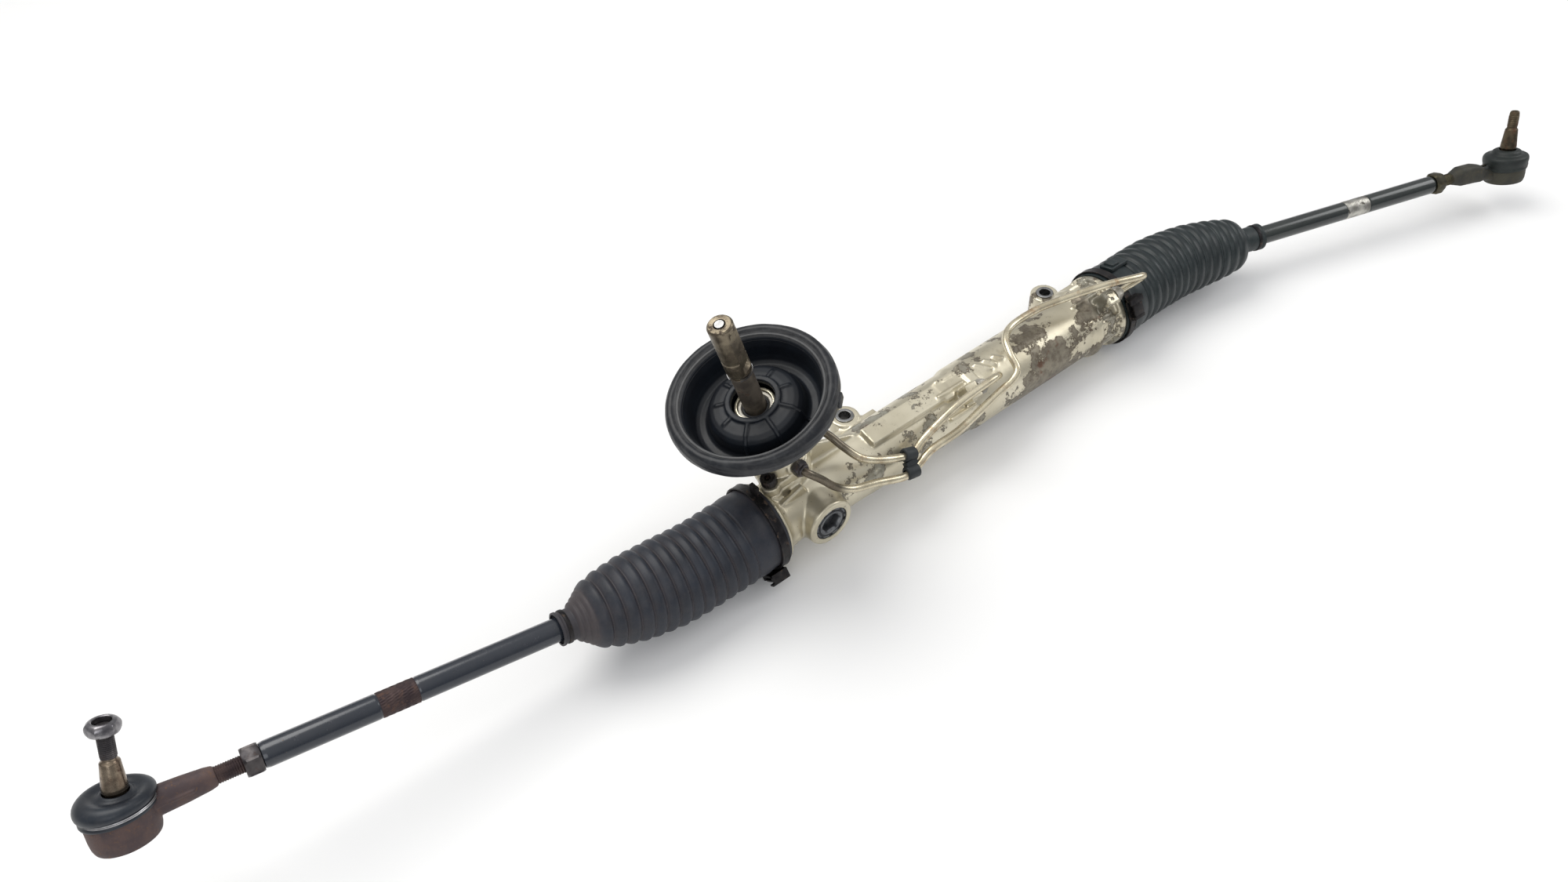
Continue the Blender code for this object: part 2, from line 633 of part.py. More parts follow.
def involute_half_angle(radius):
    """Return a pinion tooth's half angle at a radius."""
    base = PITCH_RADIUS * math.cos(PRESSURE_ANGLE)
    at_pitch = (math.pi / 2.0 + 2.0 * PROFILE_SHIFT * math.tan(PRESSURE_ANGLE)) / PINION_TEETH
    roll = math.acos(min(1.0, base / radius))
    return at_pitch + math.tan(PRESSURE_ANGLE) - PRESSURE_ANGLE - math.tan(roll) + roll


def pinion_gear():
    """Eight-tooth pinion with its journals and the valve sleeve above it."""
    base = PITCH_RADIUS * math.cos(PRESSURE_ANGLE)
    flank = [base + (PINION_TIP_RADIUS - base) * step / 3.0 for step in range(4)]
    outline = []
    for tooth in range(PINION_TEETH):
        middle = math.radians(-90.0 + 360.0 / PINION_TEETH * tooth)
        rising = [(radius, middle - involute_half_angle(radius)) for radius in flank]
        falling = [(radius, middle + involute_half_angle(radius)) for radius in reversed(flank)]
        foot = involute_half_angle(base)
        polar = [(PINION_ROOT_RADIUS, middle - foot)] + rising + falling
        polar.append((PINION_ROOT_RADIUS, middle + foot))
        outline += [(radius * math.cos(angle), radius * math.sin(angle)) for radius, angle in polar]
    gear = prism("pinion_gear", outline, -16.0 * MM, 16.0 * MM, pinion_frame(), "ground_steel")
    sleeve_bore = SHAFT_RADIUS + GAP
    journals = [
        (0.0, -31.0 * MM), (5.0 * MM, -31.0 * MM), (5.0 * MM, -17.0 * MM), (6.0 * MM, -16.5 * MM),
        (6.0 * MM, 15.5 * MM), (9.0 * MM, 17.0 * MM), (9.0 * MM, 31.0 * MM), (13.3 * MM, 31.0 * MM),
        (13.3 * MM, 60.0 * MM), (sleeve_bore, 60.0 * MM), (sleeve_bore, 34.0 * MM), (0.0, 34.0 * MM),
    ]
    add(gear, turned("journals", journals, pinion_frame(), "ground_steel", SMALL_ROUND))
    bore_radius = TORSION_BAR_RADIUS + GAP
    cut(gear, cylinder("bar_bore", bore_radius, -12.3 * MM, 35.0 * MM, pinion_frame(), "ground_steel", 12))


def torsion_bar():
    """Slim bar that ties the input shaft's top to the pinion's foot."""
    low = -12.0 * MM
    high = SHAFT_TOP - GAP
    cylinder("torsion_bar", TORSION_BAR_RADIUS, low, high, pinion_frame(), "ground_steel", THIN_ROUND)


def input_shaft():
    """Steering input shaft with a milled flat on its thick top."""
    bore = TORSION_BAR_RADIUS + GAP
    profile = [
        (bore, 34.3 * MM), (SHAFT_RADIUS, 34.3 * MM), (SHAFT_RADIUS, 74.0 * MM),
        (SHAFT_NECK_RADIUS, 76.0 * MM), (SHAFT_NECK_RADIUS, 159.0 * MM),
        (CIRCLIP_GROOVE_RADIUS, 159.0 * MM), (CIRCLIP_GROOVE_RADIUS, 161.0 * MM),
        (SHAFT_NECK_RADIUS, 161.0 * MM), (SHAFT_HEAD_RADIUS, 163.0 * MM),
        (SHAFT_HEAD_RADIUS, SHAFT_TOP - MM), (SHAFT_HEAD_RADIUS - MM, SHAFT_TOP), (bore, SHAFT_TOP),
    ]
    shaft = turned("input_shaft", profile, pinion_frame(), "dark_steel", ROUND)
    cutter = 10.0 * MM
    place = Matrix.Translation((FLAT_DISTANCE + cutter / 2.0, 0.0, FLAT_MIDDLE))
    flat_frame = pinion_frame() @ Matrix.Rotation(FLAT_ANGLE, 4, "Z") @ place
    cut(shaft, block("flat_cutter", (cutter, 3.0 * cutter, FLAT_LENGTH), flat_frame, "dark_steel"))
    inner = CIRCLIP_GROOVE_RADIUS + GAP
    ring("shaft_circlip", inner, 10.7 * MM, 159.3 * MM, 160.7 * MM, pinion_frame(), "ground_steel",
         SMALL_ROUND)


def pinion_bearings():
    """Ball bearing over the gear, needle bearing and screwed cap below it, and the shaft seal."""
    frame = pinion_frame()
    ring("pinion_ball_bearing", 9.3 * MM, 17.0 * MM, 18.0 * MM, 30.0 * MM, frame, "ground_steel", ROUND)
    ring("pinion_needle_bearing", 5.3 * MM, 9.1 * MM, -30.0 * MM, -18.3 * MM, frame, "ground_steel",
         SMALL_ROUND)
    cylinder("pinion_bottom_cap", 12.0 * MM, TOWER_BOTTOM, -33.3 * MM, frame, "ground_steel", SMALL_ROUND)
    seal_bore = SHAFT_NECK_RADIUS + GAP
    ring("shaft_seal", seal_bore, 13.5 * MM, 110.0 * MM, 117.0 * MM, frame, "boot_rubber", ROUND)


def valve_cover():
    """Upper part of the tower, with the two pipe ports and the seal's seat."""
    look = "painted_aluminium"
    low = TOWER_TOP + GAP
    snout = 16.2 * MM
    outside = [
        (0.0, low + MM), (TOWER_RADIUS, low + MM), (TOWER_RADIUS, COVER_TOP - 2.0 * MM),
        (TOWER_RADIUS - 2.0 * MM, COVER_TOP), (snout, COVER_TOP + 2.0 * MM), (snout, SNOUT_TOP - MM),
        (snout - MM, SNOUT_TOP), (0.0, SNOUT_TOP),
    ]
    cover = turned("valve_cover", outside, pinion_frame(), look, ROUND)
    add(cover, flange_plate("cover_flange", low, low + FLANGE_THICKNESS))
    for port_height, port_angle in TOWER_PORTS:
        port_frame = tower_port_frame(port_height, port_angle)
        add(cover, cylinder("port_boss", 8.0 * MM, 10.0 * MM, PORT_FACE, port_frame, look, THIN_ROUND))
    bore = [
        (0.0, low - MM), (17.3 * MM, low - MM), (17.3 * MM, 43.0 * MM), (13.8 * MM, 43.0 * MM),
        (13.8 * MM, SNOUT_TOP + MM), (0.0, SNOUT_TOP + MM),
    ]
    cut(cover, turned("cover_bore", bore, pinion_frame(), look, ROUND))
    for angle in FLANGE_BOLT_ANGLES:
        x, y = tower_point(FLANGE_BOLT_DISTANCE, angle)
        hole_frame = pinion_frame() @ Matrix.Translation((x, y, 0.0))
        cut(cover, cylinder("bolt_hole", 4.3 * MM, 30.0 * MM, 60.0 * MM, hole_frame, look, THIN_ROUND))
        seat_height = low + FLANGE_THICKNESS - 0.5 * MM
        cut(cover, cylinder("head_seat", 7.0 * MM, seat_height, 62.0 * MM, hole_frame, look, THIN_ROUND))


def cover_bolts():
    """Socket-head bolts through the tower flange."""
    head_low = TOWER_TOP + GAP + FLANGE_THICKNESS + GAP
    profile = [
        (0.0, 25.0 * MM), (4.0 * MM, 25.0 * MM), (4.0 * MM, head_low), (6.5 * MM, head_low),
        (6.5 * MM, head_low + 7.5 * MM), (0.0, head_low + 7.5 * MM),
    ]
    for name, angle in zip(("cover_bolt_front", "cover_bolt_rear"), FLANGE_BOLT_ANGLES):
        x, y = tower_point(FLANGE_BOLT_DISTANCE, angle)
        bolt_frame = pinion_frame() @ Matrix.Translation((x, y, 0.0))
        turned(name, profile, bolt_frame, "dark_steel", THIN_ROUND)


def bulkhead_seal():
    """Plastic dish round the shaft and the thick rubber rim that seals to the bulkhead."""
    hub = DISH_HUB_TOP
    rim = DISH_RIM_HEIGHT
    trough = hub - 19.0 * MM
    collar = TOWER_RADIUS + GAP
    foot = COVER_TOP - 7.0 * MM
    dish = [
        (DISH_HOLE_RADIUS, hub - 5.0 * MM), (DISH_HOLE_RADIUS, hub), (21.5 * MM, hub),
        (21.5 * MM, hub - 2.0 * MM), (31.0 * MM, hub - 4.0 * MM), (36.0 * MM, hub - 8.5 * MM),
        (38.5 * MM, trough + 2.0 * MM), (40.5 * MM, trough), (46.0 * MM, trough),
        (50.0 * MM, trough + 6.0 * MM), (52.5 * MM, rim - 4.0 * MM), (54.5 * MM, rim), (60.0 * MM, rim),
        (60.0 * MM, rim - 3.0 * MM), (56.0 * MM, rim - 3.5 * MM), (53.0 * MM, trough + 3.0 * MM),
        (48.0 * MM, trough - 3.0 * MM), (38.5 * MM, trough - 3.0 * MM), (35.0 * MM, trough),
        (33.0 * MM, hub - 11.0 * MM), (29.0 * MM, hub - 8.0 * MM), (25.0 * MM, hub - 7.5 * MM),
        (25.0 * MM, foot), (collar, foot), (collar, hub - 5.0 * MM),
    ]
    turned("bulkhead_dish", dish, pinion_frame(), "dish_plastic", WIDE_ROUND)
    rubber = [
        (56.5 * MM, rim + GAP), (60.0 * MM + GAP, rim + GAP), (60.0 * MM + GAP, rim - 3.0 * MM - GAP),
        (57.4 * MM, rim - 4.2 * MM), (58.5 * MM, rim - 10.0 * MM), (61.0 * MM, rim - 13.0 * MM),
        (64.5 * MM, rim - 12.0 * MM), (66.0 * MM, rim - 7.5 * MM), (66.0 * MM, rim - 1.5 * MM),
        (63.5 * MM, rim + 2.5 * MM), (59.5 * MM, rim + 3.5 * MM), (56.8 * MM, rim + 2.2 * MM),
    ]
    turned("bulkhead_rim", rubber, pinion_frame(), "boot_rubber", WIDE_ROUND)


# ---------------------------------------------------------------- hydraulic pipes


def cylinder_port_frame(block_x, turn, radius):
    """Return a frame whose local Z points out of a port block's face, along the rack."""
    place = Vector((block_x + PORT_BLOCK_LENGTH / 2.0, -math.sin(turn) * radius, math.cos(turn) * radius))
    return axis_frame(place, X_AXIS, Z_AXIS)


def tower_port_frame(height, angle):
    """Return a frame whose local Z points out of a port on the valve cover."""
    middle = PINION_ORIGIN + PINION_AXIS * height
    outward = PINION_SIDE * math.cos(angle) + Y_AXIS * math.sin(angle)
    return axis_frame(middle, outward, PINION_AXIS)


def smooth_route(points, spacing):
    """Return evenly fine points of a Catmull-Rom curve through a route."""
    padded = [points[0] * 2.0 - points[1]] + points + [points[-1] * 2.0 - points[-2]]
    route = [points[0]]
    for before, start, stop, after in zip(padded, padded[1:], padded[2:], padded[3:]):
        steps = max(1, round((stop - start).length / spacing))
        for step in range(1, steps + 1):
            t = step / steps
            value = (start * 2.0 + (stop - before) * t
                     + (before * 2.0 - start * 5.0 + stop * 4.0 - after) * t ** 2
                     + (start * 3.0 - before - stop * 3.0 + after) * t ** 3) * 0.5
            route.append(value)
    return route


def route_points(places):
    """Turn places in millimetres into points."""
    return [Vector(place) * MM for place in places]


def pipe_routes():
    """Return the two pipe routes, each from its valve port to its cylinder port."""
    near_port = tower_port_frame(*TOWER_PORTS[0])
    far_port = tower_port_frame(*TOWER_PORTS[1])
    reach = PORT_FACE + NUT_LENGTH + 2.0 * MM
    inside = Vector((0.0, 0.0, PORT_FACE + 3.0 * MM))
    outside = Vector((0.0, 0.0, reach))
    near_start = [near_port @ inside, near_port @ outside]
    far_start = [far_port @ inside, far_port @ outside]
    long_route = near_start + route_points((
        (-1.0, -24.5, 44.0), (10.0, -29.5, 31.0), (24.0, -34.0, 22.0), (45.0, -38.0, 17.0),
        (70.0, -43.0, 10.0),
        (84.0, -43.0, 11.0), (104.0, -41.0, 18.0), (136.0, -41.0, 20.0), (180.0, -37.5, 28.0),
        (200.0, -37.0, 33.0),
        (209.0, -33.0, 38.0), (213.0, -20.0, 44.0), (222.0, -6.0, 47.0), (238.0, 2.0, 46.5),
        (264.0, 3.0, 46.5),
        (284.0, -1.0, 48.0), (330.0, -18.0, 53.0), (366.0, -28.0, 49.5), (376.0, -28.0, 46.5),
        (379.0, -25.5, 42.0),
        (374.0, -23.0, 38.4),
    ))
    short_route = far_start + route_points((
        (28.0, 1.0, 54.0), (34.0, -10.0, 45.0), (42.0, -22.0, 36.0), (56.0, -29.0, 29.0),
        (78.0, -34.0, 21.0),
        (90.0, -34.5, 20.0), (104.0, -33.0, 27.0), (140.0, -31.5, 38.0), (176.0, -31.0, 41.0),
        (189.0, -29.5, 39.0),
        (193.0, -27.0, 35.5), (190.0, -24.0, 31.8),
    ))
    for route, port in ((long_route, PORT_BLOCKS[1]), (short_route, PORT_BLOCKS[0])):
        face = cylinder_port_frame(*port).translation
        route.append(face + X_AXIS * (NUT_LENGTH + 4.0 * MM))
        route.append(face + X_AXIS * 3.0 * MM)
    return long_route, short_route


def hydraulic_pipes():
    """Bent steel pipes between the valve and the cylinder, with a nut at each end."""
    long_route, short_route = pipe_routes()
    round_wire("pipe_to_far_port", smooth_route(long_route, PIPE_POINT_SPACING), PIPE_RADIUS, "pipe_steel",
               1)
    round_wire("pipe_to_near_port", smooth_route(short_route, PIPE_POINT_SPACING), PIPE_RADIUS,
               "pipe_steel", 1)
    nuts = (
        ("pipe_nut_valve_front", tower_port_frame(*TOWER_PORTS[0]), PORT_FACE + GAP),
        ("pipe_nut_valve_rear", tower_port_frame(*TOWER_PORTS[1]), PORT_FACE + GAP),
        ("pipe_nut_near_port", cylinder_port_frame(*PORT_BLOCKS[0]), GAP),
        ("pipe_nut_far_port", cylinder_port_frame(*PORT_BLOCKS[1]), GAP),
    )
    for name, frame, low in nuts:
        nut = prism(name, hexagon(12.0 * MM), low, low + NUT_LENGTH, frame, "ground_steel")
        high = low + NUT_LENGTH + MM
        cut(nut, cylinder("nut_hole", PIPE_RADIUS + MM, low - MM, high, frame, "ground_steel", THIN_ROUND))


def pipe_clip():
    """Rubber clip that holds the two pipes side by side."""
    short_centre = Vector((84.0, -34.4, 20.3)) * MM
    long_centre = Vector((79.5, -43.2, 10.2)) * MM
    middle = (short_centre + long_centre) / 2.0
    across = (short_centre - long_centre).normalized()
    frame = axis_frame(middle, X_AXIS, across)
    half = (short_centre - long_centre).length / 2.0
    radius = PIPE_RADIUS + 2.6 * MM
    outline = []
    for sign, start in ((1.0, -90.0), (-1.0, 90.0)):
        for step in range(7):
            angle = math.radians(start + 30.0 * step)
            outline.append((sign * half + radius * math.cos(angle), radius * math.sin(angle)))
    clip = prism("pipe_clip", outline, -6.0 * MM, 6.0 * MM, frame, "boot_rubber")
    long_route, short_route = pipe_routes()
    for route in (long_route, short_route):
        fine_route = smooth_route(route, PIPE_POINT_SPACING)
        near = [point for point in fine_route if abs(point.x - middle.x) < 45.0 * MM]
        tool = round_wire("pipe_hole", near, PIPE_RADIUS + GAP, "boot_rubber", 2)
        cut(clip, mesh_copy(tool))


def mesh_copy(curve_object):
    """Replace a curve object by a mesh object of the same shape."""
    bpy.context.view_layer.update()
    depsgraph = bpy.context.evaluated_depsgraph_get()
    mesh = bpy.data.meshes.new_from_object(curve_object.evaluated_get(depsgraph))
    made = bpy.data.objects.new(curve_object.name + "_mesh", mesh)
    bpy.context.collection.objects.link(made)
    bpy.data.objects.remove(curve_object)
    return made


# ---------------------------------------------------------------- boots

def boot_centreline(side_index, steps):
    """Return (centre, axis) places from a boot's big end to its small end."""
    outward = -1.0 if side_index == 0 else 1.0
    shoulder = SPIGOT_LENGTH - GAP
    big_end = HOUSING_LEFT_END + shoulder if side_index == 0 else TUBE_RIGHT_END - shoulder
    direction = ROD_DIRECTIONS[side_index]
    ball = Vector((INNER_BALL_X[side_index], 0.0, 0.0))
    start = Vector((big_end, 0.0, 0.0))
    stop = ball + direction * BOOT_SMALL_END
    straight = start + X_AXIS * outward * (abs(INNER_BALL_X[side_index] - big_end) - 4.0 * MM)
    bend = ball + direction * 30.0 * MM
    places = []
    for step in range(steps + 1):
        t = step / steps
        s = 1.0 - t
        centre = start * s ** 3 + straight * (3.0 * s * s * t) + bend * (3.0 * s * t * t) + stop * t ** 3
        slope = ((straight - start) * (3.0 * s * s) + (bend - straight) * (6.0 * s * t)
                 + (stop - bend) * (3.0 * t * t))
        places.append((centre, slope.normalized()))
    return places


def boot(side_index):
    """Rubber bellows from the housing's spigot to the tie rod, drawn as its outer envelope."""
    stations = ((0.0, 32.8, 35.4), (0.085, 32.8, 35.4), (0.1, 32.8, 35.6), (0.3, 33.0, 36.0),
                (0.55, 33.0, 36.0), (0.75, 29.0, 32.5), (0.9, 19.0, 22.0), (0.945, 13.0, 16.0),
                (0.955, 9.3, 11.4), (1.0, 9.3, 11.4))
    steps = 100
    line = boot_centreline(side_index, steps)
    outer = []
    inner = []
    for place, inner_radius, outer_radius in stations:
        centre, axis = line[round(place * steps)]
        outer.append((centre, axis, outer_radius * MM))
        inner.append((centre, axis, inner_radius * MM))
    lofted("boot_" + SIDES[side_index], outer + list(reversed(inner)), "boot_rubber")


def boot_clamps():
    """Band clamp with a buckle on each boot's big end, and a spring clip on its small end."""
    for index, side in enumerate(SIDES):
        outward = -1.0 if index == 0 else 1.0
        big_end = HOUSING_LEFT_END if index == 0 else TUBE_RIGHT_END
        frame = axis_frame(Vector((big_end - outward * 3.0 * MM, 0.0, 0.0)), -X_AXIS * outward, Z_AXIS)
        band = ring("boot_clamp_" + side, 36.2 * MM, 37.8 * MM, 0.0, 8.0 * MM, frame, "dark_steel", ROUND)
        buckle_turn = Matrix.Rotation(BUCKLE_ANGLES[index], 4, "X")
        buckle_frame = buckle_turn @ Matrix.Translation((big_end - outward * 7.0 * MM, 0.0, 40.4 * MM))
        add(band, block("buckle", (10.0 * MM, 17.0 * MM, 8.0 * MM), buckle_frame, "dark_steel"))
        ball = Vector((INNER_BALL_X[index], 0.0, 0.0))
        clip_frame = axis_frame(ball, ROD_DIRECTIONS[index])
        low = BOOT_SMALL_END - 6.5 * MM
        ring("boot_clip_" + side, 11.9 * MM, 13.1 * MM, low, low + 5.0 * MM, clip_frame, "dark_steel",
             SMALL_ROUND)


# ---------------------------------------------------------------- tie rods and outer joints

def tie_rod(index):
    """Tie rod with its inner ball, and a threaded hole in its outer end."""
    side = SIDES[index]
    frame = axis_frame(Vector((INNER_BALL_X[index], 0.0, 0.0)), ROD_DIRECTIONS[index])
    neck = 6.0 * MM
    neck_angle = math.degrees(math.asin(neck / INNER_BALL_RADIUS))
    profile = [(0.0, -INNER_BALL_RADIUS)] + arc(0.0, INNER_BALL_RADIUS, 180.0, neck_angle, 7)[1:]
    profile += [
        (neck, 26.0 * MM), (ROD_RADIUS, 34.0 * MM), (ROD_RADIUS, ROD_LENGTH),
        (THREAD_RADIUS + GAP, ROD_LENGTH), (THREAD_RADIUS + GAP, ROD_LENGTH - 36.0 * MM),
        (0.0, ROD_LENGTH - 36.0 * MM),
    ]
    turned("tie_rod_" + side, profile, frame, "black_rod", SMALL_ROUND)


def locknut(index):
    """Hexagon nut that locks the tie rod end in the tie rod."""
    side = SIDES[index]
    frame = axis_frame(Vector((INNER_BALL_X[index], 0.0, 0.0)), ROD_DIRECTIONS[index])
    low = ROD_LENGTH + GAP
    high = low + LOCKNUT_THICKNESS
    nut = prism("locknut_" + side, hexagon(LOCKNUT_ACROSS_FLATS), low, high, frame, "dark_steel")
    cut(nut, cylinder("nut_hole", THREAD_RADIUS + GAP, low - MM, high + MM, frame, "dark_steel",
                      THIN_ROUND))


def cup_frame(index):
    """Return the outer joint's frame: local Z up the cup, local X along the tie rod."""
    direction = ROD_DIRECTIONS[index]
    centre = Vector((INNER_BALL_X[index], 0.0, 0.0)) + direction * OUTER_BALL_DISTANCES[index]
    upright = (Z_AXIS - direction * direction.z).normalized()
    sideways = (Y_AXIS - direction * direction.y - upright * upright.y).normalized()
    axis = upright * math.cos(CUP_ROLLS[index]) + sideways * math.sin(CUP_ROLLS[index])
    return axis_frame(centre, axis, direction)


def tie_rod_end(index):
    """Forged outer joint body: cup, neck and the shank that screws into the tie rod."""
    look = "rusty_forging" if index == 0 else "olive_forging"
    frame = cup_frame(index)
    cup = [
        (0.0, -17.0 * MM), (20.5 * MM, -17.0 * MM), (CUP_RADIUS, -14.5 * MM), (CUP_RADIUS, 5.0 * MM),
        (18.5 * MM, 8.0 * MM), (18.5 * MM, 11.0 * MM), (0.0, 11.0 * MM),
    ]
    body = turned("tie_rod_end_" + SIDES[index], cup, frame, look, ROUND)
    reach = OUTER_BALL_DISTANCES[index]
    shank_frame = axis_frame(frame.translation, -ROD_DIRECTIONS[index], frame.to_3x3() @ Z_AXIS)
    neck_end = reach - ROD_LENGTH - LOCKNUT_THICKNESS - 12.0 * MM
    shank = [
        (0.0, 14.0 * MM), (8.2 * MM, 14.0 * MM), (8.2 * MM, neck_end),
        (THREAD_RADIUS, neck_end + 3.0 * MM), (THREAD_RADIUS, reach - ROD_LENGTH + 33.0 * MM),
        (0.0, reach - ROD_LENGTH + 33.0 * MM),
    ]
    add(body, turned("shank", shank, shank_frame, look, THIN_ROUND))
    cavity = OUTER_BALL_RADIUS + SEAT_THICKNESS + 2.0 * BALL_GAP
    hollow = [(0.0, 12.0 * MM), (16.5 * MM, 12.0 * MM)] + arc(0.0, cavity, 63.0, 90.0, 3)
    hollow += [(cavity, -13.9 * MM), (16.0 * MM, -13.9 * MM), (16.0 * MM, -18.0 * MM), (0.0, -18.0 * MM)]
    cut(body, turned("cup_hollow", hollow, frame, look, SMALL_ROUND))
    cover_low = -16.6 * MM
    cylinder("cup_cover_" + SIDES[index], 16.0 * MM - GAP, cover_low, -13.9 * MM - GAP, frame, look,
             SMALL_ROUND)
    ball_shell("outer_ball_seat_" + SIDES[index], OUTER_BALL_RADIUS + BALL_GAP, 66.0, 120.0, frame, 4)


def stud_frame(index):
    """Return the ball stud's frame: local Z along the stud."""
    return axis_frame(cup_frame(index).translation, STUD_DIRECTIONS[index], ROD_DIRECTIONS[index])


def ball_stud(index):
    """Ball stud with its taper and thread."""
    frame = stud_frame(index)
    neck = 6.3 * MM
    neck_angle = math.degrees(math.asin(neck / OUTER_BALL_RADIUS))
    tip = STUD_LENGTHS[index]
    profile = [(0.0, -OUTER_BALL_RADIUS)] + arc(0.0, OUTER_BALL_RADIUS, 180.0, neck_angle, 7)[1:]
    profile += [
        (neck, 17.0 * MM), (7.4 * MM, 19.0 * MM), (7.4 * MM, 21.0 * MM), (5.6 * MM, 38.0 * MM),
        (5.0 * MM, 39.0 * MM), (5.0 * MM, tip - 1.5 * MM), (4.0 * MM, tip), (0.0, tip),
    ]
    turned("ball_stud_" + SIDES[index], profile, frame, "ground_steel", SMALL_ROUND)


def stud_nut():
    """Flanged nut on the left stud."""
    frame = stud_frame(0)
    low = 55.0 * MM
    flange = [(0.0, low), (10.0 * MM, low), (9.4 * MM, low + 2.0 * MM), (0.0, low + 2.0 * MM)]
    nut = turned("stud_nut_left", flange, frame, "ground_steel", SMALL_ROUND)
    add(nut, prism("nut_body", hexagon(17.0 * MM), low + MM, low + 10.0 * MM, frame, "ground_steel"))
    cut(nut, cylinder("nut_hole", 5.0 * MM + GAP, low - MM, low + 12.0 * MM, frame, "ground_steel",
                      THIN_ROUND))


def dust_boot(index):
    """Rubber dust boot between the cup's top and the stud, and the wire ring round it."""
    cup = cup_frame(index)
    stud = stud_frame(index)
    cup_axis = cup.to_3x3() @ Z_AXIS
    stud_axis = stud.to_3x3() @ Z_AXIS
    outer_stations = ((0.0, 8.4, 20.6), (0.0, 10.8, 20.8), (0.15, 13.5, 23.6), (0.35, 17.0, 23.8),
                      (0.6, 20.5, 21.5),
                      (0.8, 22.5, 17.0), (1.0, 24.0, 9.8))
    inner_stations = ((1.0, 21.6, 8.0), (0.8, 20.0, 15.5), (0.6, 18.0, 19.3), (0.35, 15.5, 21.0),
                      (0.15, 13.4, 20.8),
                      (0.0, 11.6, 18.9), (0.0, 8.4, 18.9))
    rings = []
    for blend, height, radius in outer_stations + inner_stations:
        axis = cup_axis.lerp(stud_axis, blend).normalized()
        rings.append((cup.translation + axis * height * MM, axis, radius * MM))
    lofted("dust_boot_" + SIDES[index], rings, "boot_rubber")
    ring("dust_boot_ring_" + SIDES[index], 21.2 * MM, 22.6 * MM, 8.6 * MM, 10.0 * MM, cup, "ground_steel",
         ROUND)


def side_assembly(index):
    """Everything from one end of the rack outwards."""
    side = SIDES[index]
    outward = -1.0 if index == 0 else 1.0
    inner_joint_housing(side, INNER_BALL_X[index], outward)
    ball = Vector((INNER_BALL_X[index], 0.0, 0.0))
    direction = ROD_DIRECTIONS[index]
    level = Vector((direction.x, direction.y, 0.0)).normalized()
    ball_shell("inner_ball_seat_" + side, INNER_BALL_RADIUS + BALL_GAP, 60.0, 95.0,
               axis_frame(ball, level), 3)
    ball_shell("inner_thrust_pad_" + side, INNER_BALL_RADIUS + BALL_GAP, 152.0, 180.0,
               axis_frame(ball, direction), 2)
    tie_rod(index)
    locknut(index)
    tie_rod_end(index)
    ball_stud(index)
    dust_boot(index)
    boot(index)


def clear_scene():
    """Remove whatever the scene holds."""
    for existing in list(bpy.data.objects):
        bpy.data.objects.remove(existing)


def main():
    """Build the whole assembly."""
    clear_scene()
    pinion_housing()
    cylinder_tube()
    mount_sleeves()
    rack_supports()
    yoke_group()
    valve_cover()
    cover_bolts()
    pinion_bearings()
    bulkhead_seal()
    hydraulic_pipes()
    pipe_clip()
    rack_bar()
    piston()
    pinion_gear()
    torsion_bar()
    input_shaft()
    for index in range(len(SIDES)):
        side_assembly(index)
    boot_clamps()
    stud_nut()


main()
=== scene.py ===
"""Looks of a used hydraulic power-steering rack and pinion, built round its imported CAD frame.

The CAD frame's origin is where the pinion crosses the rack's axis, +X along the rack, +Z up.
Lengths in the piece functions are millimetres and turn into metres when a mesh is made.
"""
import math

import bmesh
import bpy
import numpy as np
from mathutils import Matrix, Vector


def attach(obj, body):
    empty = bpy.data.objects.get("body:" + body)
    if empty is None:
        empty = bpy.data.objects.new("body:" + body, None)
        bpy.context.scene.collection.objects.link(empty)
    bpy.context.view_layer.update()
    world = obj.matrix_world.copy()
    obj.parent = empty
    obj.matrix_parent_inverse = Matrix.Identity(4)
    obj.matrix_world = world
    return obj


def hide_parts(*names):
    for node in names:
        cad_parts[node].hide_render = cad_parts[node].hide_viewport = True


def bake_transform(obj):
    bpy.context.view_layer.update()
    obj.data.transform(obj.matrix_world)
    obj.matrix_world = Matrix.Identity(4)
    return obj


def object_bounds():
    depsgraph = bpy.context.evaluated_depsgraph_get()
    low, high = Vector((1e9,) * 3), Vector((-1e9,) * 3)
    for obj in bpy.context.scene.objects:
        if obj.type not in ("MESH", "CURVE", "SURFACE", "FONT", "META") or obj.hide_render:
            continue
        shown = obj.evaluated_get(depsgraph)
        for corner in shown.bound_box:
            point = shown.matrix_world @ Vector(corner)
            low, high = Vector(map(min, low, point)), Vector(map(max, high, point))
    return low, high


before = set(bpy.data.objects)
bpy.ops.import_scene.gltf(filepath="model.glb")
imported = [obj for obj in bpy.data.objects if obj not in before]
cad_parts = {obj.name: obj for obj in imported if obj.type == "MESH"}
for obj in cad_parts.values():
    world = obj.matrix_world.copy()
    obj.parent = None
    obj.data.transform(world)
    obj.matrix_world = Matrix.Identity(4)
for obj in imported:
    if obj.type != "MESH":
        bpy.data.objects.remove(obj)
cad_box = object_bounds()

MM = 0.001
X_AXIS = Vector((1.0, 0.0, 0.0))
Y_AXIS = Vector((0.0, 1.0, 0.0))
Z_AXIS = Vector((0.0, 0.0, 1.0))
ORIGIN = Vector((0.0, 0.0, 0.0))
SIDES = ("left", "right")

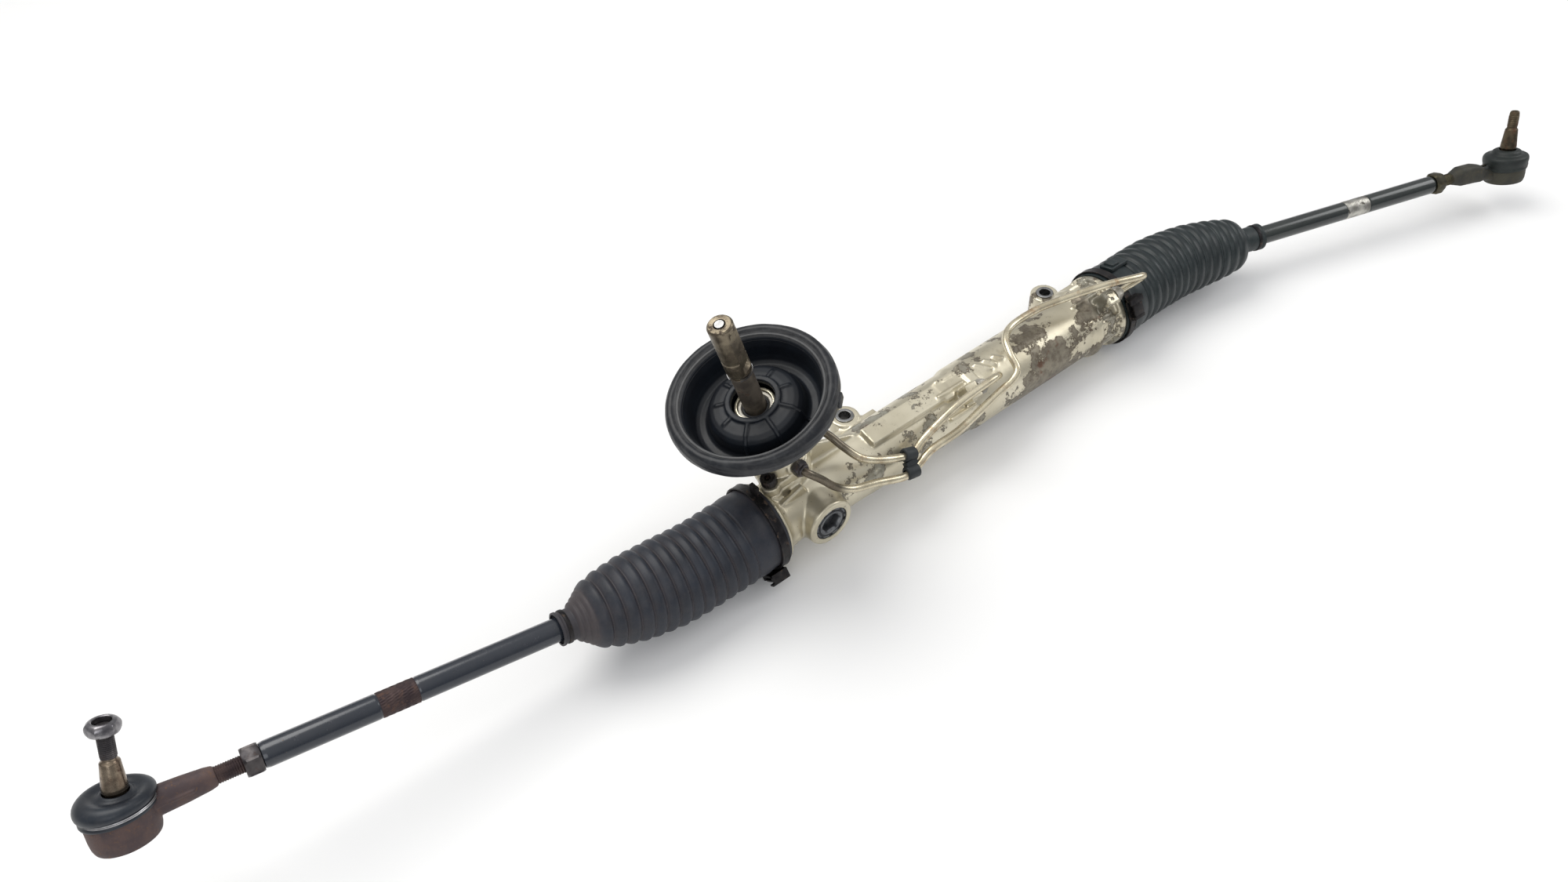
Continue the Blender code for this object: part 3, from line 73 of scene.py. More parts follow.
# Places that the CAD frame fixes, in millimetres
LEAN = math.radians(14.6)
PINION_AXIS = Vector((-math.sin(LEAN), 0.0, math.cos(LEAN)))
PINION_SIDE = Vector((math.cos(LEAN), 0.0, math.sin(LEAN)))
PINION_ORIGIN = Vector((0.0, 14.465, 0.0))
BALL_X = (-126.0, 463.0)
ROD_DIRECTIONS = (Vector((-0.983, 0.070, 0.170)).normalized(),
                  Vector((0.950, -0.312, 0.015)).normalized())
OUTER_DISTANCES = (392.0, 404.0)
CUP_ROLLS = (math.radians(26.0), math.radians(18.5))
STUD_DIRECTIONS = (Vector((0.33, 0.36, 0.87)).normalized(),
                   Vector((0.15, 0.27, 0.95)).normalized())
STUD_LENGTHS = (67.0, 56.0)
ROD_LENGTH = 309.0
SPIGOT_ENDS = (-54.0, 371.0)
LUG_X = (79.0, 327.0)
LUG_Y = 40.0
COVER_LOW = 40.3
FLANGE_BOLTS = (math.radians(-145.0), math.radians(35.0))
FLANGE_BOLT_RADIUS = 25.0
TOWER_PORTS = ((54.0, math.radians(-84.0)), (58.0, math.radians(-12.0)))
PORT_BLOCKS = ((166.0, math.radians(37.0), 38.0), (338.0, math.radians(31.0), 43.0))
PORT_BLOCK_LENGTH = 13.0
PORT_FACE = 22.5
NUT_LENGTH = 9.0
SHAFT_FLAT = math.radians(-60.0)

# Pipe radius, and tops of the dish's hub and edge along the pinion's axis
PIPE_RADIUS = 3.3
DISH_HUB_TOP = 126.5
DISH_RIM_TOP = 131.5

# Boots, measured from the inner ball along the rod: where the rod's own line begins, the seams
# between the three parts, where the last part has turned fully, and the small end
STRAIGHT_FROM = 38.0
BEND_SEAMS = ((4.0, 32.0), (6.0, 40.0))
BEND_STOPS = (81.0, 84.0)
BOOT_END = 101.0

# Boots: how far they sit over the housing's spigots, how far from there the first part's bend
# begins, their folds and wall, and the rows and points of their mesh
BOOT_OVERLAP = 13.7
FIRST_BEND = 4.0
BOOT_FOLDS = 13
BOOT_WALL = 1.5
BOOT_ROWS = 420
BOOT_SEGMENTS = 72

# Tie rods with their rolled bands, and cups of the rod ends by their own axis
ROD_RADIUS = 9.0
ROD_BANDS = ((206.0, 233.0), (201.0, 228.0))
CUP_RADII = (20.8, 19.4)
CUP_FEET = (-16.8, -19.6)
CUP_SHOULDERS = (6.2, -1.0)
CUP_LIPS = (7.6, 4.2)
STUD_NUT_LOW = 57.0

# Shanks of the rod ends: (distance from the ball, half height, half width, power of the
# rounded section, drop below the rod's line)
SHANKS = (
    ((6.0, 9.6, 9.0, 2.2, 0.0), (20.0, 9.6, 8.0, 2.4, 0.0), (36.0, 8.8, 7.6, 2.4, 0.0),
     (50.0, 7.6, 7.0, 2.3, 0.0), (54.0, 6.9, 6.6, 2.0, 0.0), (55.2, 6.0, 6.0, 2.0, 0.0)),
    ((6.0, 6.0, 6.4, 2.1, 9.5), (20.0, 5.8, 6.0, 2.2, 8.6), (30.0, 6.4, 6.2, 2.4, 5.4),
     (36.0, 9.0, 8.2, 3.4, 2.4), (44.0, 9.8, 8.2, 3.4, 0.8), (60.0, 9.6, 8.2, 3.4, 0.0),
     (66.0, 7.6, 7.2, 2.6, 0.0), (70.0, 6.4, 6.4, 2.0, 0.0), (71.2, 6.0, 6.0, 2.0, 0.0)),
)

# Outlines of the dust boots: (share of the stud's tilt, height, radius)
DUST_BOOTS = (
    ((0.0, 3.6, 21.0), (0.0, 3.6, 22.2), (0.0, 5.4, 22.5), (0.0, 6.6, 21.5), (0.0, 7.8, 21.6),
     (0.04, 8.8, 22.7), (0.14, 10.2, 23.4), (0.3, 12.4, 23.6), (0.45, 14.6, 22.8), (0.6, 16.4, 20.8),
     (0.72, 17.2, 18.4), (0.8, 17.0, 15.8), (0.86, 15.8, 13.4), (0.92, 15.4, 11.6), (1.0, 16.4, 10.0),
     (1.0, 17.6, 9.2), (1.0, 17.8, 7.6)),
    ((0.0, -5.2, 19.6), (0.0, -5.2, 20.5), (0.0, -3.0, 20.7), (0.0, -2.2, 20.1), (0.0, -0.8, 20.2),
     (0.0, 1.6, 21.0), (0.0, 5.0, 21.3), (0.1, 7.4, 20.8), (0.3, 8.8, 19.2), (0.5, 9.0, 17.0),
     (0.62, 9.2, 15.2), (0.72, 10.2, 14.2), (0.82, 12.0, 13.6), (0.9, 13.4, 12.2), (1.0, 14.2, 10.0),
     (1.0, 14.2, 7.9)),
)
DUST_BOOT_BORE = 7.6

# Camera that was fitted to the photo's outline, in metres
CAMERA_PLACE = (-0.38315, -0.50047, 0.72026)
CAMERA_RIGHT = (0.7786, -0.6261, -0.0426)
CAMERA_BACK = (-0.4110, -0.5600, 0.7194)
CAMERA_LENS = 27.0


# ---------------------------------------------------------------- frames and meshes

def axis_frame(origin, axis, side=None):
    """Return a millimetre frame whose local Z is the axis and whose local X is nearest the side."""
    z = Vector(axis).normalized()
    guide = Vector(side) if side is not None else (X_AXIS if abs(z.x) < 0.9 else Z_AXIS)
    x = (guide - z * guide.dot(z)).normalized()
    turn = Matrix((x, z.cross(x), z)).transposed()
    return Matrix.Translation(origin) @ turn.to_4x4()


def rotated(axis, degrees):
    """Turn about one of the world's axes."""
    return Matrix.Rotation(math.radians(degrees), 4, axis)


def moved(x, y, z):
    """Shift by the given lengths."""
    return Matrix.Translation((x, y, z))


RACK = axis_frame(ORIGIN, X_AXIS, Z_AXIS)
PINION = axis_frame(PINION_ORIGIN, PINION_AXIS, PINION_SIDE)
YOKE = axis_frame(ORIGIN, -Y_AXIS, X_AXIS)


def rod_frame(index):
    """Frame of a tie rod: local Z outwards from the inner ball."""
    return axis_frame(Vector((BALL_X[index], 0.0, 0.0)), ROD_DIRECTIONS[index])


def cup_frame(index):
    """Frame of an outer joint: local Z up its cup, local X along the tie rod."""
    along = ROD_DIRECTIONS[index]
    centre = Vector((BALL_X[index], 0.0, 0.0)) + along * OUTER_DISTANCES[index]
    upright = (Z_AXIS - along * along.z).normalized()
    sideways = (Y_AXIS - along * along.y - upright * upright.y).normalized()
    axis = upright * math.cos(CUP_ROLLS[index]) + sideways * math.sin(CUP_ROLLS[index])
    return axis_frame(centre, axis, along)


def stud_frame(index):
    """Frame of a ball stud: local Z along the stud."""
    return axis_frame(cup_frame(index).translation, STUD_DIRECTIONS[index], ROD_DIRECTIONS[index])


def tower_port_frame(port):
    """Frame of a pipe port on the valve cover: local Z outwards."""
    height, angle = port
    outward = PINION_SIDE * math.cos(angle) + Y_AXIS * math.sin(angle)
    return axis_frame(PINION_ORIGIN + PINION_AXIS * height, outward, PINION_AXIS)


def lug_frame(lug_x):
    """Frame of a mounting lug: local Z along its bolt."""
    return axis_frame(Vector((lug_x, LUG_Y, 0.0)), Z_AXIS)


def block_port_frame(port):
    """Frame of a pipe port on the cylinder: local Z along the rack."""
    place, turn, radius = port
    centre = (place + PORT_BLOCK_LENGTH / 2.0, -math.sin(turn) * radius, math.cos(turn) * radius)
    return axis_frame(Vector(centre), X_AXIS, Z_AXIS)


def rounded(profile, radius=0.6, steps=3):
    """Round the inner corners of an open outline of (radius, height) points."""
    points = [Vector(p) for p in profile]
    made = [points[0]]
    for before, corner, after in zip(points, points[1:], points[2:]):
        back = before - corner
        ahead = after - corner
        reach = min(radius, back.length * 0.45, ahead.length * 0.45)
        start = corner + back.normalized() * reach
        stop = corner + ahead.normalized() * reach
        for step in range(steps + 1):
            t = step / steps
            made.append(start * (1 - t) ** 2 + corner * (2 * t * (1 - t)) + stop * t * t)
    made.append(points[-1])
    return [tuple(p) for p in made]


def add_rings(builder, rings, closed=False, place=None):
    """Join rings of points into a skin; a ring of one point closes an end, as a cap does."""
    loops = []
    for ring in rings:
        loops.append([builder.verts.new(place @ Vector(p) if place else Vector(p)) for p in ring])
    pairs = list(zip(loops, loops[1:]))
    if closed:
        pairs.append((loops[-1], loops[0]))
    for first, second in pairs:
        count = max(len(first), len(second))
        for k in range(count):
            n = (k + 1) % count
            if len(first) == 1:
                builder.faces.new((first[0], second[n], second[k]))
            elif len(second) == 1:
                builder.faces.new((first[k], first[n], second[0]))
            else:
                builder.faces.new((first[k], first[n], second[n], second[k]))
    if not closed:
        for loop in (loops[0], loops[-1]):
            if len(loop) > 2:
                builder.faces.new(loop)
    return loops


def add_lathe(builder, profile, place, segments=72, ripple=None):
    """Turn a (radius, height) outline round the frame's Z. It's a ring unless it meets the axis."""
    rings = []
    for radius, height in profile:
        if radius < 1e-6:
            rings.append([(0.0, 0.0, height)])
            continue
        ring = []
        for k in range(segments):
            angle = math.tau * k / segments
            reach = radius + (ripple(angle, height, radius) if ripple else 0.0)
            ring.append((reach * math.cos(angle), reach * math.sin(angle), height))
        rings.append(ring)
    add_rings(builder, rings, closed=len(rings[0]) > 1, place=place)


def add_box(builder, size, place):
    """Add a box centred on the frame's origin."""
    x, y, z = (s / 2.0 for s in size)
    corners = [(-x, -y), (x, -y), (x, y), (-x, y)]
    add_rings(builder, [[(a, b, -z) for a, b in corners], [(a, b, z) for a, b in corners]], place=place)


def add_prism(builder, outline, low, high, place):
    """Add an outline pulled from one height to another."""
    add_rings(builder, [[(a, b, low) for a, b in outline], [(a, b, high) for a, b in outline]],
              place=place)


def add_shaped(builder, rows, segments, shape, place, closed=False):
    """Add rings from (radius, height, kind) rows; the shape turns a point into (reach, drop)."""
    rings = []
    for radius, height, kind in rows:
        if radius == 0.0:
            rings.append([(0.0, 0.0, height)])
            continue
        ring = []
        for k in range(segments):
            turn = math.tau * k / segments
            reach, drop = shape(k, turn, radius, kind)
            ring.append((reach * math.cos(turn), reach * math.sin(turn), height - drop))
        rings.append(ring)
    add_rings(builder, rings, closed=closed, place=place)


def arc(radius, start, stop, step):
    """Points of a ball's outline as (radius, height), from its lowest point."""
    points = [(radius * math.sin(math.radians(a)), radius * math.cos(math.radians(a)))
              for a in range(start, stop, step)]
    points[0] = (0.0, -radius)
    return points


def make_piece(name, builder, smooth_angle=35.0):
    """Turn a millimetre builder into an object in metres."""
    bmesh.ops.remove_doubles(builder, verts=builder.verts, dist=0.0005)
    bmesh.ops.recalc_face_normals(builder, faces=builder.faces)
    mesh = bpy.data.meshes.new(name)
    builder.to_mesh(mesh)
    builder.free()
    mesh.transform(Matrix.Scale(MM, 4))
    mesh.shade_smooth()
    mesh.set_sharp_from_angle(angle=math.radians(smooth_angle))
    made = bpy.data.objects.new(name, mesh)
    bpy.context.scene.collection.objects.link(made)
    return made


def lathe_piece(name, profile, place, segments=72, corner=0.5, ripple=None, smooth_angle=35.0):
    """Make one turned piece with rounded corners."""
    builder = bmesh.new()
    outline = rounded(profile, corner) if corner else profile
    add_lathe(builder, outline, place, segments, ripple)
    return make_piece(name, builder, smooth_angle)


def settle(thing, voxel, passes, factor=0.5):
    """Fuse overlapping shapes into one skin with soft inner corners, as in a casting."""
    remesh = thing.modifiers.new("fuse", "REMESH")
    remesh.mode = "VOXEL"
    remesh.voxel_size = voxel * MM
    if passes:
        soften = thing.modifiers.new("soften", "SMOOTH")
        soften.iterations = passes
        soften.factor = factor
    bake_modifiers(thing)
    return thing


def bevel(thing, width, segments, angle=30.0):
    """Round the edges that are sharper than the angle."""
    made = thing.modifiers.new("bevel", "BEVEL")
    made.width = width * MM
    made.segments = segments
    made.angle_limit = math.radians(angle)
    bake_modifiers(thing)


def bake_modifiers(thing):
    """Keep the mesh that the modifiers give."""
    bpy.context.view_layer.update()
    graph = bpy.context.evaluated_depsgraph_get()
    result = bpy.data.meshes.new_from_object(thing.evaluated_get(graph))
    thing.modifiers.clear()
    old = thing.data
    thing.data = result
    bpy.data.meshes.remove(old)
    result.name = thing.name
    result.shade_smooth()


def carve(thing, tool):
    """Cut a tool's shape out of a piece and remove the tool."""
    cut = thing.modifiers.new("cut", "BOOLEAN")
    cut.operation = "DIFFERENCE"
    cut.solver = "EXACT"
    cut.object = tool
    bake_modifiers(thing)
    thing.data.set_sharp_from_angle(angle=math.radians(50.0))
    bpy.data.objects.remove(tool)


def sweep_rings(points, radius, segments):
    """Return rings of points round a route, with frames that don't twist."""
    rings = []
    side = None
    for k, point in enumerate(points):
        ahead = points[min(k + 1, len(points) - 1)] - points[max(k - 1, 0)]
        ahead = ahead.normalized()
        if side is None:
            side = ahead.orthogonal().normalized()
        side = (side - ahead * side.dot(ahead)).normalized()
        up = ahead.cross(side)
        reach = radius(k) if callable(radius) else radius
        rings.append([point + (side * math.cos(a) + up * math.sin(a)) * reach
                      for a in (math.tau * n / segments for n in range(segments))])
    return rings


def smooth_route(points, spacing):
    """Return fine points of a Catmull-Rom curve through a route."""
    padded = [points[0] * 2.0 - points[1]] + points + [points[-1] * 2.0 - points[-2]]
    route = [points[0]]
    for before, start, stop, after in zip(padded, padded[1:], padded[2:], padded[3:]):
        steps = max(1, round((stop - start).length / spacing))
        for step in range(1, steps + 1):
            t = step / steps
            route.append((start * 2.0 + (stop - before) * t
                          + (before * 2.0 - start * 5.0 + stop * 4.0 - after) * t ** 2
                          + (start * 3.0 - before - stop * 3.0 + after) * t ** 3) * 0.5)
    return route


def hex_radius(angle, across):
    """Distance from a hexagon's middle to its edge; a corner is at angle 0."""
    turn = (angle % (math.pi / 3.0)) - math.pi / 6.0
    return across / 2.0 / math.cos(turn)


def add_hex_nut(builder, across, bore, low, high, place, chamfer=1.2, segments=72):
    """Add a hexagon nut with chamfered ends and a countersunk hole."""
    flat = across / 2.0
    rows = ((bore + 0.6, low, 0), (flat * 0.97, low, 0), (flat, low + chamfer, -1),
            (flat, high - chamfer, 1), (flat * 0.97, high, 0), (bore + 0.6, high, 0),
            (bore, high - 0.6, 0), (bore, low + 0.6, 0))

    def shape(k, turn, radius, end):
        if end == 0:
            return radius, 0.0
        reach = hex_radius(turn, across)
        return reach, (reach - flat) * 0.5 * end

    add_shaped(builder, rows, segments, shape, place, closed=True)


def add_thread(builder, radius, pitch, low, high, place, depth=0.55, segments=48):
    """Add a helical thread from one height to another, closed at both ends."""
    rows = max(4, int((high - low) / pitch * 8))
    rings = [[(0.0, 0.0, low)]]
    for row in range(rows + 1):
        height = low + (high - low) * row / rows
        ring = []
        for k in range(segments):
            angle = math.tau * k / segments
            wave = abs(((height / pitch - k / segments) % 1.0) * 2.0 - 1.0)
            edge = min(1.0, (height - low) / pitch, (high - height) / pitch)
            reach = radius - depth * (1.0 - wave * max(0.0, edge))
            ring.append((reach * math.cos(angle), reach * math.sin(angle), height))
        rings.append(ring)
    rings.append([(0.0, 0.0, high)])
    add_rings(builder, rings, place=place)


# ---------------------------------------------------------------- materials

class Graph:
    """Small builder for one procedural material."""

    def __init__(self, name):
        self.material = bpy.data.materials.new(name)
        self.material.use_nodes = True
        self.tree = self.material.node_tree
        self.shader = self.tree.nodes["Principled BSDF"]
        self.place = self.node("ShaderNodeTexCoord").outputs["Object"]

    def node(self, kind, **settings):
        """Add a node with the given settings."""
        made = self.tree.nodes.new(kind)
        for key, value in settings.items():
            setattr(made, key, value)
        return made

    def plug(self, socket, value):
        """Link an output to an input, or set the input's own value."""
        if isinstance(value, bpy.types.NodeSocket):
            self.tree.links.new(value, socket)
        else:
            socket.default_value = value

    def noise(self, size_mm, detail=5.0, rough=0.6, stretch=None, shift=0.0):
        """Noise whose blobs are about the given size, from 0 to 1."""
        place = self.place
        if stretch or shift:
            mapping = self.node("ShaderNodeMapping")
            self.plug(mapping.inputs["Vector"], place)
            mapping.inputs["Scale"].default_value = stretch or (1.0, 1.0, 1.0)
            mapping.inputs["Location"].default_value = (shift, shift, shift)
            place = mapping.outputs["Vector"]
        made = self.node("ShaderNodeTexNoise")
        self.plug(made.inputs["Vector"], place)
        made.inputs["Scale"].default_value = 1000.0 / size_mm
        made.inputs["Detail"].default_value = detail
        made.inputs["Roughness"].default_value = rough
        return made.outputs["Fac"]

    def remap(self, value, low, high, out_low=0.0, out_high=1.0):
        """Spread a value's range over another, with soft ends."""
        made = self.node("ShaderNodeMapRange", interpolation_type="SMOOTHSTEP")
        self.plug(made.inputs["Value"], value)
        self.plug(made.inputs["From Min"], low)
        self.plug(made.inputs["From Max"], high)
        self.plug(made.inputs["To Min"], out_low)
        self.plug(made.inputs["To Max"], out_high)
        return made.outputs["Result"]

    def sum(self, *terms):
        """Add (value, factor) terms."""
        total = None
        for value, factor in terms:
            made = self.node("ShaderNodeMath", operation="MULTIPLY_ADD")
            self.plug(made.inputs[0], value)
            self.plug(made.inputs[1], factor)
            self.plug(made.inputs[2], total if total is not None else 0.0)
            total = made.outputs[0]
        return total

    def times(self, first, second):
        """Product of two values, kept between 0 and 1."""
        made = self.node("ShaderNodeMath", operation="MULTIPLY", use_clamp=True)
        self.plug(made.inputs[0], first)
        self.plug(made.inputs[1], second)
        return made.outputs[0]

    def mix(self, share, first, second):
        """Mix two colours."""
        made = self.node("ShaderNodeMix", data_type="RGBA")
        self.plug(made.inputs["Factor"], share)
        self.plug(made.inputs[6], self.colour(first))
        self.plug(made.inputs[7], self.colour(second))
        return made.outputs[2]

    @staticmethod
    def colour(value):
        """A three-part colour as four parts; a socket stays as it is."""
        return (*value, 1.0) if isinstance(value, tuple) and len(value) == 3 else value

    def along(self, axis):
        """One coordinate of the object's own space, in metres."""
        made = self.node("ShaderNodeSeparateXYZ")
        self.plug(made.inputs[0], self.place)
        return made.outputs[axis]

    def painted(self, name):
        """A value kept on the mesh's points."""
        return self.node("ShaderNodeAttribute", attribute_name=name).outputs["Fac"]

    def bump(self, *layers):
        """Stack (height, depth in mm) layers into the shader's normal."""
        normal = None
        for height, depth in layers:
            made = self.node("ShaderNodeBump")
            made.inputs["Strength"].default_value = 1.0
            made.inputs["Distance"].default_value = depth * MM
            self.plug(made.inputs["Height"], height)
            if normal is not None:
                self.plug(made.inputs["Normal"], normal)
            normal = made.outputs["Normal"]
        self.plug(self.shader.inputs["Normal"], normal)

    def surface(self, colour, roughness, metallic):
        """Set the shader's colour, roughness and metal share, and return the material."""
        self.plug(self.shader.inputs["Base Color"], self.colour(colour))
        self.plug(self.shader.inputs["Roughness"], roughness)
        self.plug(self.shader.inputs["Metallic"], metallic)
        return self.material


def srgb(red, green, blue):
    """Turn screen values from 0 to 255 into a linear colour."""
    return tuple((v / 255.0 / 12.92) if v <= 10 else ((v / 255.0 + 0.055) / 1.055) ** 2.4
                 for v in (red, green, blue))


def cast_paint(name, thin=0.0):
    """Silver paint over cast aluminium, flaked off in patches that grow towards the far end."""
    g = Graph(name)
    worn = g.times(g.remap(g.along("X"), 0.10, 0.27, 0.0, 1.0),
                   g.remap(g.along("X"), 0.322, 0.334, 1.0, 0.25))
    fresh = g.remap(g.along("X"), -0.02, 0.10, 1.0, 0.0)
    patches = g.sum((g.noise(40.0, 2.0, 0.5), 0.60), (g.noise(11.0, 10.0, 0.74, shift=0.3), 0.40),
                    (worn, 0.105), (fresh, -0.03), (1.0, thin))
    flaked = g.remap(patches, 0.578, 0.588)
    edge = g.times(g.remap(patches, 0.566, 0.580), g.remap(patches, 0.602, 0.586))
    clouds = g.noise(60.0, 3.0, 0.5, shift=1.7)
    paint = g.mix(g.remap(clouds, 0.35, 0.65), srgb(212, 205, 184), srgb(186, 178, 156))
    speck = g.remap(g.noise(2.4, 4.0, 0.7, shift=4.0), 0.655, 0.70)
    paint = g.mix(g.times(speck, 0.75), paint, srgb(92, 80, 62))
    near = g.mix(g.remap(g.noise(9.0, 6.0, 0.65, shift=2.2), 0.38, 0.66), srgb(166, 163, 150),
                 srgb(140, 136, 122))
    far = g.mix(g.remap(g.noise(7.0, 6.0, 0.65, shift=2.2), 0.38, 0.66), srgb(134, 127, 112),
                srgb(104, 96, 84))
    bare = g.mix(worn, near, far)
    bare = g.mix(g.remap(g.noise(17.0, 4.0, 0.6, shift=7.7), 0.60, 0.70), bare, srgb(104, 78, 64))
    colour = g.mix(flaked, paint, bare)
    colour = g.mix(g.times(edge, 0.7), colour, srgb(70, 56, 42))
    dirt = g.times(g.remap(g.noise(24.0, 7.0, 0.7, shift=5.1), 0.58, 0.76), 0.40)
    colour = g.mix(dirt, colour, srgb(104, 92, 70))
    step = g.remap(patches, 0.572, 0.590, 1.0, 0.0)
    g.bump((step, 0.18), (g.noise(2.4, 5.0, 0.65), 0.08), (g.noise(0.7, 3.0, 0.7), 0.04))
    rough = g.sum((flaked, 0.10), (g.noise(9.0, 4.0, 0.6), 0.14), (1.0, 0.27))
    return g.surface(colour, rough, g.sum((flaked, -0.12), (1.0, 0.74)))


def steel(name, light, dark, rust, rust_share=0.5, rough=0.3, metallic=0.95):
    """Worn steel: two greys, rust that gathers in patches, fine machining lines."""
    g = Graph(name)
    tone = g.mix(g.remap(g.noise(11.0, 5.0, 0.6), 0.34, 0.66), light, dark)
    rusty = g.remap(g.noise(6.0, 8.0, 0.72, shift=3.1), 0.66 - 0.2 * rust_share, 0.76 - 0.2 * rust_share)
    tone = g.mix(rusty, tone, rust)
    lines = g.noise(0.55, 2.0, 0.5, stretch=(1.0, 1.0, 0.06))
    g.bump((g.noise(1.5, 4.0, 0.6), 0.04), (lines, 0.02), (rusty, 0.05))
    roughness = g.sum((rusty, 0.30), (g.noise(4.0, 4.0, 0.6, shift=8.0), 0.18), (1.0, rough - 0.08))
    return g.surface(tone, roughness, g.sum((rusty, -0.55), (1.0, metallic)))


def forging(name, base, second, rust, gloss=0.62):
    """Forged steel with a thick skin of oxide."""
    g = Graph(name)
    tone = g.mix(g.remap(g.noise(16.0, 6.0, 0.62), 0.36, 0.64), base, second)
    spots = g.remap(g.noise(3.4, 7.0, 0.72, shift=2.0), 0.55, 0.68)
    tone = g.mix(g.times(spots, 0.8), tone, rust)
    pits = g.noise(1.6, 6.0, 0.7, shift=6.0)
    g.bump((g.noise(7.0, 3.0, 0.5), 0.22), (pits, 0.12), (spots, 0.06))
    return g.surface(tone, g.sum((pits, 0.22), (1.0, gloss - 0.10)), 0.30)


def rod_coat(name, base, second, dust, dust_share):
    """Smooth dark coating with scuffs along the rod and a film of dust."""
    g = Graph(name)
    tone = g.mix(g.remap(g.noise(30.0, 4.0, 0.6), 0.36, 0.64), base, second)
    film = g.remap(g.noise(9.0, 8.0, 0.75, shift=4.0), 0.68 - dust_share, 0.86 - dust_share)
    tone = g.mix(g.times(film, 0.65), tone, dust)
    nicks = g.remap(g.noise(2.2, 4.0, 0.7, shift=9.0), 0.70, 0.74)
    tone = g.mix(g.times(nicks, 0.8), tone, srgb(104, 82, 66))
    g.bump((g.noise(5.0, 4.0, 0.6), 0.05), (nicks, 0.05))
    rough = g.sum((film, 0.28), (g.noise(14.0, 3.0, 0.5), 0.12), (1.0, 0.17))
    made = g.surface(tone, rough, 0.15)
    g.shader.inputs["Coat Weight"].default_value = 0.35
    g.shader.inputs["Coat Roughness"].default_value = 0.18
    return made


def rubber(name, base, second, dust, dust_gain=1.0, gloss=0.46):
    """Black rubber. Dust sits where the mesh's own dust value is high."""
    g = Graph(name)
    tone = g.mix(g.remap(g.noise(22.0, 5.0, 0.6), 0.35, 0.65), base, second)
    settled = g.painted("dust")
    film = g.sum((settled, dust_gain), (g.noise(8.0, 7.0, 0.7, shift=1.0), 0.7), (1.0, -0.42))
    film = g.times(film, 1.0)
    tone = g.mix(g.times(film, 0.85), tone, dust)
    scuffs = g.remap(g.noise(3.0, 6.0, 0.75, stretch=(1.0, 0.35, 1.0), shift=6.0), 0.66, 0.80)
    tone = g.mix(g.times(scuffs, 0.35), tone, srgb(122, 118, 112))
    g.bump((g.noise(4.0, 5.0, 0.6), 0.10), (g.noise(0.8, 3.0, 0.6, shift=2.0), 0.03))
    rough = g.sum((film, 0.25), (g.noise(12.0, 4.0, 0.6, shift=3.0), 0.16), (1.0, gloss - 0.08))
    made = g.surface(tone, rough, 0.0)
    g.shader.inputs["Specular IOR Level"].default_value = 0.38
    return made


def moulded(name, base, second, scuff, gloss=0.38):
    """Moulded plastic with scratches and a little dust."""
    g = Graph(name)
    tone = g.mix(g.remap(g.noise(26.0, 4.0, 0.6), 0.36, 0.64), base, second)
    scratches = g.remap(g.noise(2.4, 7.0, 0.8, stretch=(1.0, 0.25, 0.6), shift=5.0), 0.64, 0.78)
    tone = g.mix(g.times(scratches, 0.45), tone, scuff)
    g.bump((g.noise(0.9, 3.0, 0.6), 0.03), (scratches, 0.03))
    made = g.surface(tone, g.sum((g.noise(10.0, 4.0, 0.6, shift=2.0), 0.22), (1.0, gloss - 0.11)), 0.0)
    g.shader.inputs["Specular IOR Level"].default_value = 0.34
    return made


def pipe_metal(name):
    """Plated pipe: cream silver, stained brown in patches, with scraped black marks."""
    g = Graph(name)
    tone = g.mix(g.remap(g.noise(20.0, 4.0, 0.6), 0.35, 0.65), srgb(214, 205, 180), srgb(182, 172, 148))
    stain = g.remap(g.noise(14.0, 7.0, 0.72, shift=2.0), 0.52, 0.66)
    tone = g.mix(g.times(stain, 0.7), tone, srgb(142, 110, 76))
    marks = g.remap(g.noise(5.0, 8.0, 0.78, shift=6.0), 0.64, 0.70)
    tone = g.mix(g.times(marks, 0.85), tone, srgb(52, 44, 38))
    tone = g.mix(g.times(g.painted("dust"), 0.85), tone, srgb(74, 66, 58))
    g.bump((g.noise(3.0, 4.0, 0.6), 0.06), (marks, 0.05))
    rough = g.sum((stain, 0.15), (marks, 0.2), (g.noise(7.0, 3.0, 0.6), 0.14), (1.0, 0.20))
    return g.surface(tone, rough, g.sum((marks, -0.6), (stain, -0.25), (1.0, 0.85)))


